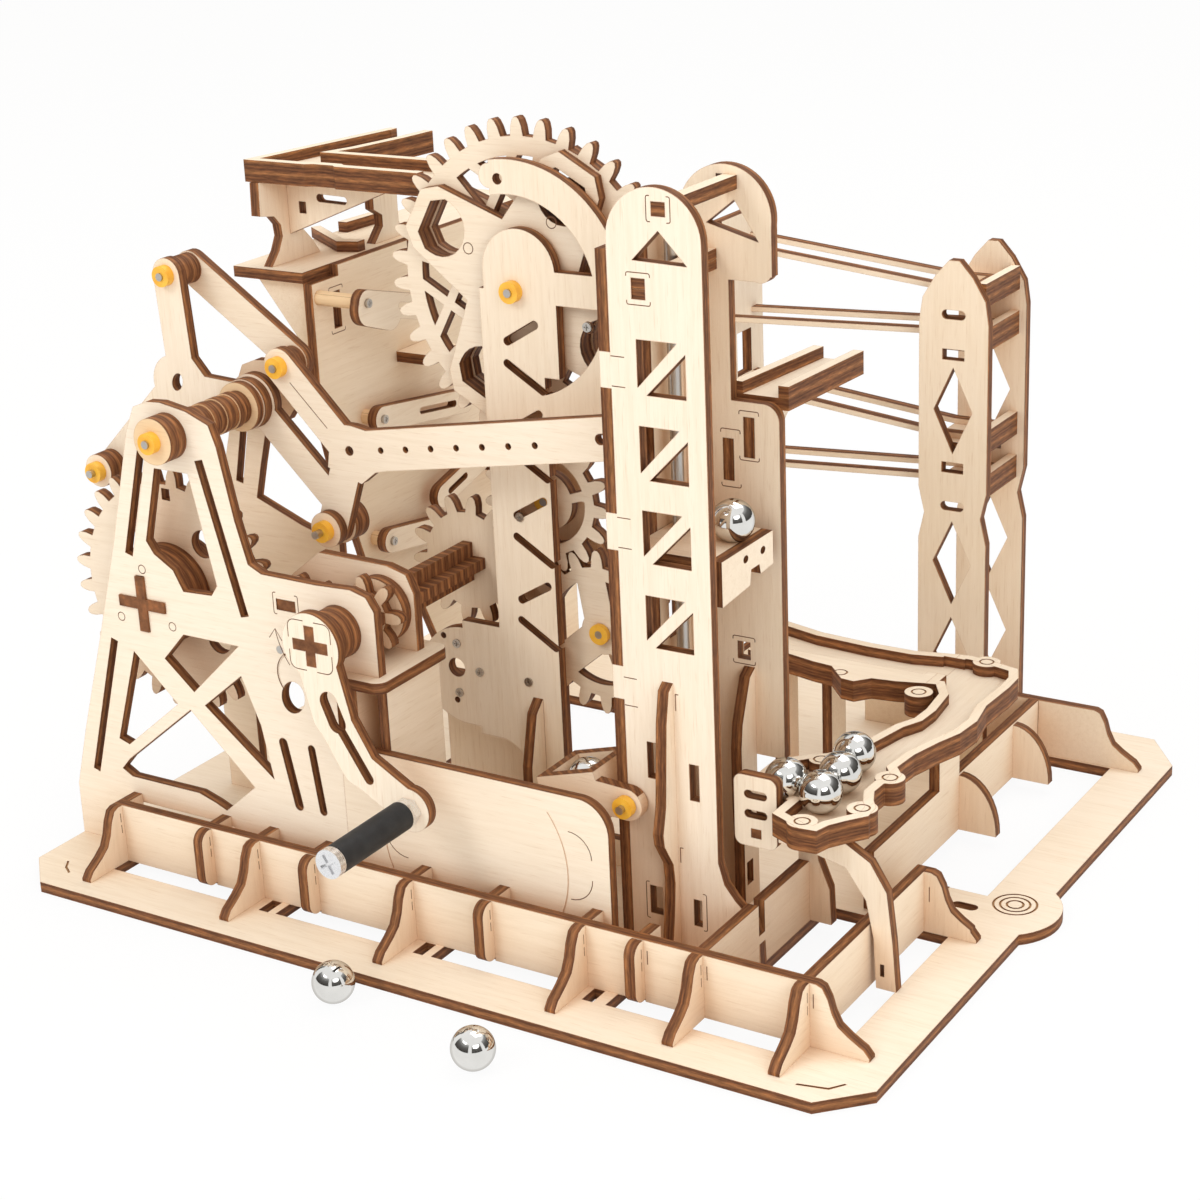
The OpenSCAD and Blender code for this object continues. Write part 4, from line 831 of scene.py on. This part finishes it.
@dataclass
class PinHeads:
    """The small steel heads with a cross recess on the flippers' rods and on the gear wall, in mm."""

    radius: float = 1.15
    height: float = 0.5
    recess: float = 0.36
    arm_share: float = 1.25
    sides: int = 28
    sunk: float = 0.1
    wall_pins: tuple[Spot, ...] = (
        (132.8, 139.9), (111.2, 90.9), (111.1, 47.9), (96.5, 47.9), (89.9, 41.2), (90.0, 54.5))
    flipper_pins: tuple[Point, ...] = (
        (59.8, 87.4, 135.4), (50.6, 102.5, 100.1), (50.6, 146.0, 76.5), (50.6, 102.5, 66.4))

    def tree(self, finish: bpy.types.Material) -> tuple[bpy.types.GeometryNodeTree, dict[str, str]]:
        """Build the tree that sets one head on each point.

        Args:
            finish: The material of the heads.

        Returns:
            The tree, and the identifiers of its inputs by name.
        """
        group = bpy.data.node_groups.new("pin_heads", "GeometryNodeTree")
        kinds = {
            "Radius": "NodeSocketFloat", "Height": "NodeSocketFloat", "Recess": "NodeSocketFloat",
            "Turn": "NodeSocketVector"}
        group.interface.new_socket("Points", in_out="INPUT", socket_type="NodeSocketGeometry")
        names = {name: group.interface.new_socket(name, in_out="INPUT", socket_type=kind).identifier
                 for name, kind in kinds.items()}
        group.interface.new_socket("Heads", in_out="OUTPUT", socket_type="NodeSocketGeometry")
        tree = Tree(group)
        given = tree.add("NodeGroupInput").outputs
        disc = tree.add("GeometryNodeMeshCylinder", {
            "Vertices": self.sides, "Radius": given["Radius"], "Depth": given["Height"]})
        long = tree.math("MULTIPLY", given["Radius"], self.arm_share)
        lift = tree.add("ShaderNodeCombineXYZ", {2: tree.math("MULTIPLY", given["Height"], 0.5)}).outputs[0]
        head = disc.outputs[0]
        for wide, deep in ((long, given["Recess"]), (given["Recess"], long)):
            size = tree.add("ShaderNodeCombineXYZ", {0: wide, 1: deep, 2: given["Height"]})
            bar = tree.add("GeometryNodeMeshCube", {"Size": size.outputs[0]})
            arm = tree.add("GeometryNodeTransform", {"Geometry": bar.outputs[0], "Translation": lift})
            cut = tree.add("GeometryNodeMeshBoolean", {0: head, 1: arm.outputs[0]}, operation="DIFFERENCE")
            head = cut.outputs[0]
        heads = tree.add("GeometryNodeInstanceOnPoints", {
            "Points": given["Points"], "Instance": head, "Rotation": given["Turn"]})
        plain = tree.add("GeometryNodeRealizeInstances", {"Geometry": heads.outputs[0]})
        done = tree.add("GeometryNodeSetMaterial", {"Geometry": plain.outputs[0], "Material": finish})
        tree.add("NodeGroupOutput", {0: done.outputs[0]})
        return group, names

    def build(self) -> list[str]:
        """Set the heads, those that look to the front and those that look to the right.

        Returns:
            The names of the pieces.
        """
        group, sockets = self.tree(STEEL_PIN.material())
        middle = self.height / 2 - self.sunk
        front = [GEAR_WALL.point(x, z, -middle) for x, z in self.wall_pins]
        right = [place(x - middle + self.sunk, y, z) for x, y, z in self.flipper_pins]
        quarter = math.pi / 2
        sizes = {"Radius": self.radius * MM, "Height": self.height * MM, "Recess": self.recess * MM}
        rows = {
            "wall_pin_heads": (front, (quarter, 0.0, 0.0)),
            "flipper_pin_heads": (right, (0.0, quarter, 0.0))}
        for name, (points, turn) in rows.items():
            drawn = bpy.data.meshes.new(f"{name}_points")
            drawn.from_pydata(points, [], [])
            values = {sockets[key]: value for key, value in {**sizes, "Turn": turn}.items()}
            piece = grown(name, drawn, group, values)
            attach(piece, "frame")
        return list(rows)


@dataclass(frozen=True)
class Lamp:
    """A soft square lamp, with its place and side in metres and its power in watts."""

    name: str
    at: Point
    side: float
    watts: float

    def hang(self, target: Vector) -> None:
        """Hang the lamp so that it points at the target.

        Args:
            target: The middle of what it lights.
        """
        data = bpy.data.lights.new(self.name, "AREA")
        data.size = self.side
        data.energy = self.watts
        aim = (target - Vector(self.at)).to_track_quat("-Z", "Y").to_matrix().to_4x4()
        show(self.name, data).matrix_world = Matrix.Translation(self.at) @ aim


@dataclass
class Studio:
    """The camera at the photograph's place, the pale floor, the soft lamps and the dark cloths."""

    lens: float = 73.56
    film_width: float = 36.0
    camera_at: Vector = field(default_factory=lambda: Vector((0.3095, -0.3946, 0.2799)))
    right: Vector = field(default_factory=lambda: Vector((0.8504, 0.5245, -0.0418)))
    up: Vector = field(default_factory=lambda: Vector((-0.1526, 0.3217, 0.9345)))
    target: Vector = field(default_factory=lambda: Vector((0.0, 0.09, 0.08)))
    lamps: tuple[Lamp, ...] = (
        Lamp("key", (-0.8, -1.7, 1.55), 0.9, 14.5),
        Lamp("fill", (1.3, -0.9, 0.8), 1.0, 8.5),
        Lamp("top", (0.1, 0.5, 1.2), 0.8, 5.0))
    daylight: Colour = (1.0, 0.955, 0.885)
    daylight_strength: float = 0.76
    floor_reach: float = 3.0
    floor_drop: float = 0.0001
    floor_tint: Colour = (0.9, 0.9, 0.9)
    floor_glow: float = 0.92
    cloth_radius: float = 1.6
    cloth_heights: Spot = (0.16, 1.5)
    cloth_spans: tuple[Spot, ...] = ((196.0, 282.0), (300.0, 352.0), (10.0, 80.0), (104.0, 170.0))
    cloth_steps: int = 12
    cloth_tones: Stops = ((0.1, (0.05, 0.045, 0.04)), (0.6, (0.16, 0.155, 0.15)), (1.0, (0.5, 0.5, 0.5)))

    def camera(self) -> None:
        """Create the camera from its place and its right and up directions."""
        data = bpy.data.cameras.new("camera")
        data.lens = self.lens
        data.sensor_width = self.film_width
        data.clip_start = 0.01
        back = self.right.cross(self.up).normalized()
        right = self.right.normalized()
        turned = Matrix((right, back.cross(right), back)).transposed().to_4x4()
        camera = show("camera", data)
        camera.matrix_world = Matrix.Translation(self.camera_at) @ turned
        bpy.context.scene.camera = camera

    def seen(self, tree: Tree) -> Socket:
        """Tell the rays that see the background from those that light the object.

        Args:
            tree: The tree of a material or the world.

        Returns:
            A number that is 1 for rays from the camera and through gloss or glass.
        """
        path = tree.add("ShaderNodeLightPath").outputs
        total = tree.math("ADD", path["Is Camera Ray"], path["Is Glossy Ray"])
        return tree.math("ADD", total, path["Is Transmission Ray"], clamp=True)

    def world(self) -> None:
        """Make a white world for the camera and a softer one for the light on the object."""
        world = bpy.data.worlds.new("studio")
        world.use_nodes = True
        tree = Tree(world.node_tree)
        plain = tree.add("ShaderNodeBackground", {0: opaque(self.daylight), 1: self.daylight_strength})
        white = tree.add("ShaderNodeBackground", {0: opaque(WHITE), 1: 1.0})
        both = tree.add("ShaderNodeMixShader", {
            0: self.seen(tree), 1: plain.outputs[0], 2: white.outputs[0]})
        tree.add("ShaderNodeOutputWorld", {0: both.outputs[0]})
        bpy.context.scene.world = world

    def floor(self) -> None:
        """Lay a plain white floor that keeps a faint shadow."""
        mesh = bpy.data.meshes.new("floor")
        turns = ((-1, -1), (1, -1), (1, 1), (-1, 1))
        corners = [(x * self.floor_reach, y * self.floor_reach, -self.floor_drop) for x, y in turns]
        mesh.from_pydata(corners, [], [(0, 1, 2, 3)])
        material, tree = blank("floor_white")
        matt = tree.add("ShaderNodeBsdfDiffuse", {0: opaque(self.floor_tint)})
        glow = tree.add("ShaderNodeEmission", {0: opaque(WHITE), 1: 1.0})
        share = tree.math("MULTIPLY", self.seen(tree), self.floor_glow)
        both = tree.add("ShaderNodeMixShader", {0: share, 1: matt.outputs[0], 2: glow.outputs[0]})
        tree.add("ShaderNodeOutputMaterial", {0: both.outputs[0]})
        mesh.materials.append(material)
        floor = show("floor", mesh)

    def cloths(self) -> None:
        """Stand dark cloths round the studio, which only the polished balls and pins mirror."""
        points, quads = [], []
        for start, end in self.cloth_spans:
            first = len(points)
            for x, y in arc((0.0, 0.0), self.cloth_radius, start, end, self.cloth_steps):
                points += [(x, y, z) for z in self.cloth_heights]
            quads += [(n, n + 2, n + 3, n + 1) for n in range(first, len(points) - 2, 2)]
        mesh = bpy.data.meshes.new("dark_cloths")
        mesh.from_pydata(points, [], quads)
        material, tree = blank("cloth_dark")
        spot = tree.add("ShaderNodeTexCoord").outputs["Object"]
        height = tree.add("ShaderNodeSeparateXYZ", {0: spot}).outputs[2]
        tone = tree.ramp(tree.math("DIVIDE", height, self.cloth_heights[1]), self.cloth_tones)
        dark = tree.add("ShaderNodeEmission", {0: tone, 1: 1.0})
        tree.add("ShaderNodeOutputMaterial", {0: dark.outputs[0]})
        mesh.materials.append(material)
        cloths = show("dark_cloths", mesh)
        cloths.visible_camera = False
        cloths.visible_diffuse = False
        cloths.visible_shadow = False
        cloths.visible_transmission = False

    def build(self) -> list[str]:
        """Set up the whole studio.

        Returns:
            The names of what stands in it.
        """
        self.camera()
        self.world()
        self.floor()
        self.cloths()
        for lamp in self.lamps:
            lamp.hang(self.target)
        bpy.context.scene.view_settings.view_transform = "Standard"
        return ["camera", "floor", "dark_cloths", *(lamp.name for lamp in self.lamps)]


def main() -> None:
    logging.basicConfig(level=logging.INFO, format="%(message)s")
    for assembly in (Studio(), SheetStock(), Hardware(), BurntLines(), PinHeads()):
        for piece in assembly.build():
            log.info("%s: %s", type(assembly).__name__, piece)


if __name__ == "__main__":
    main()
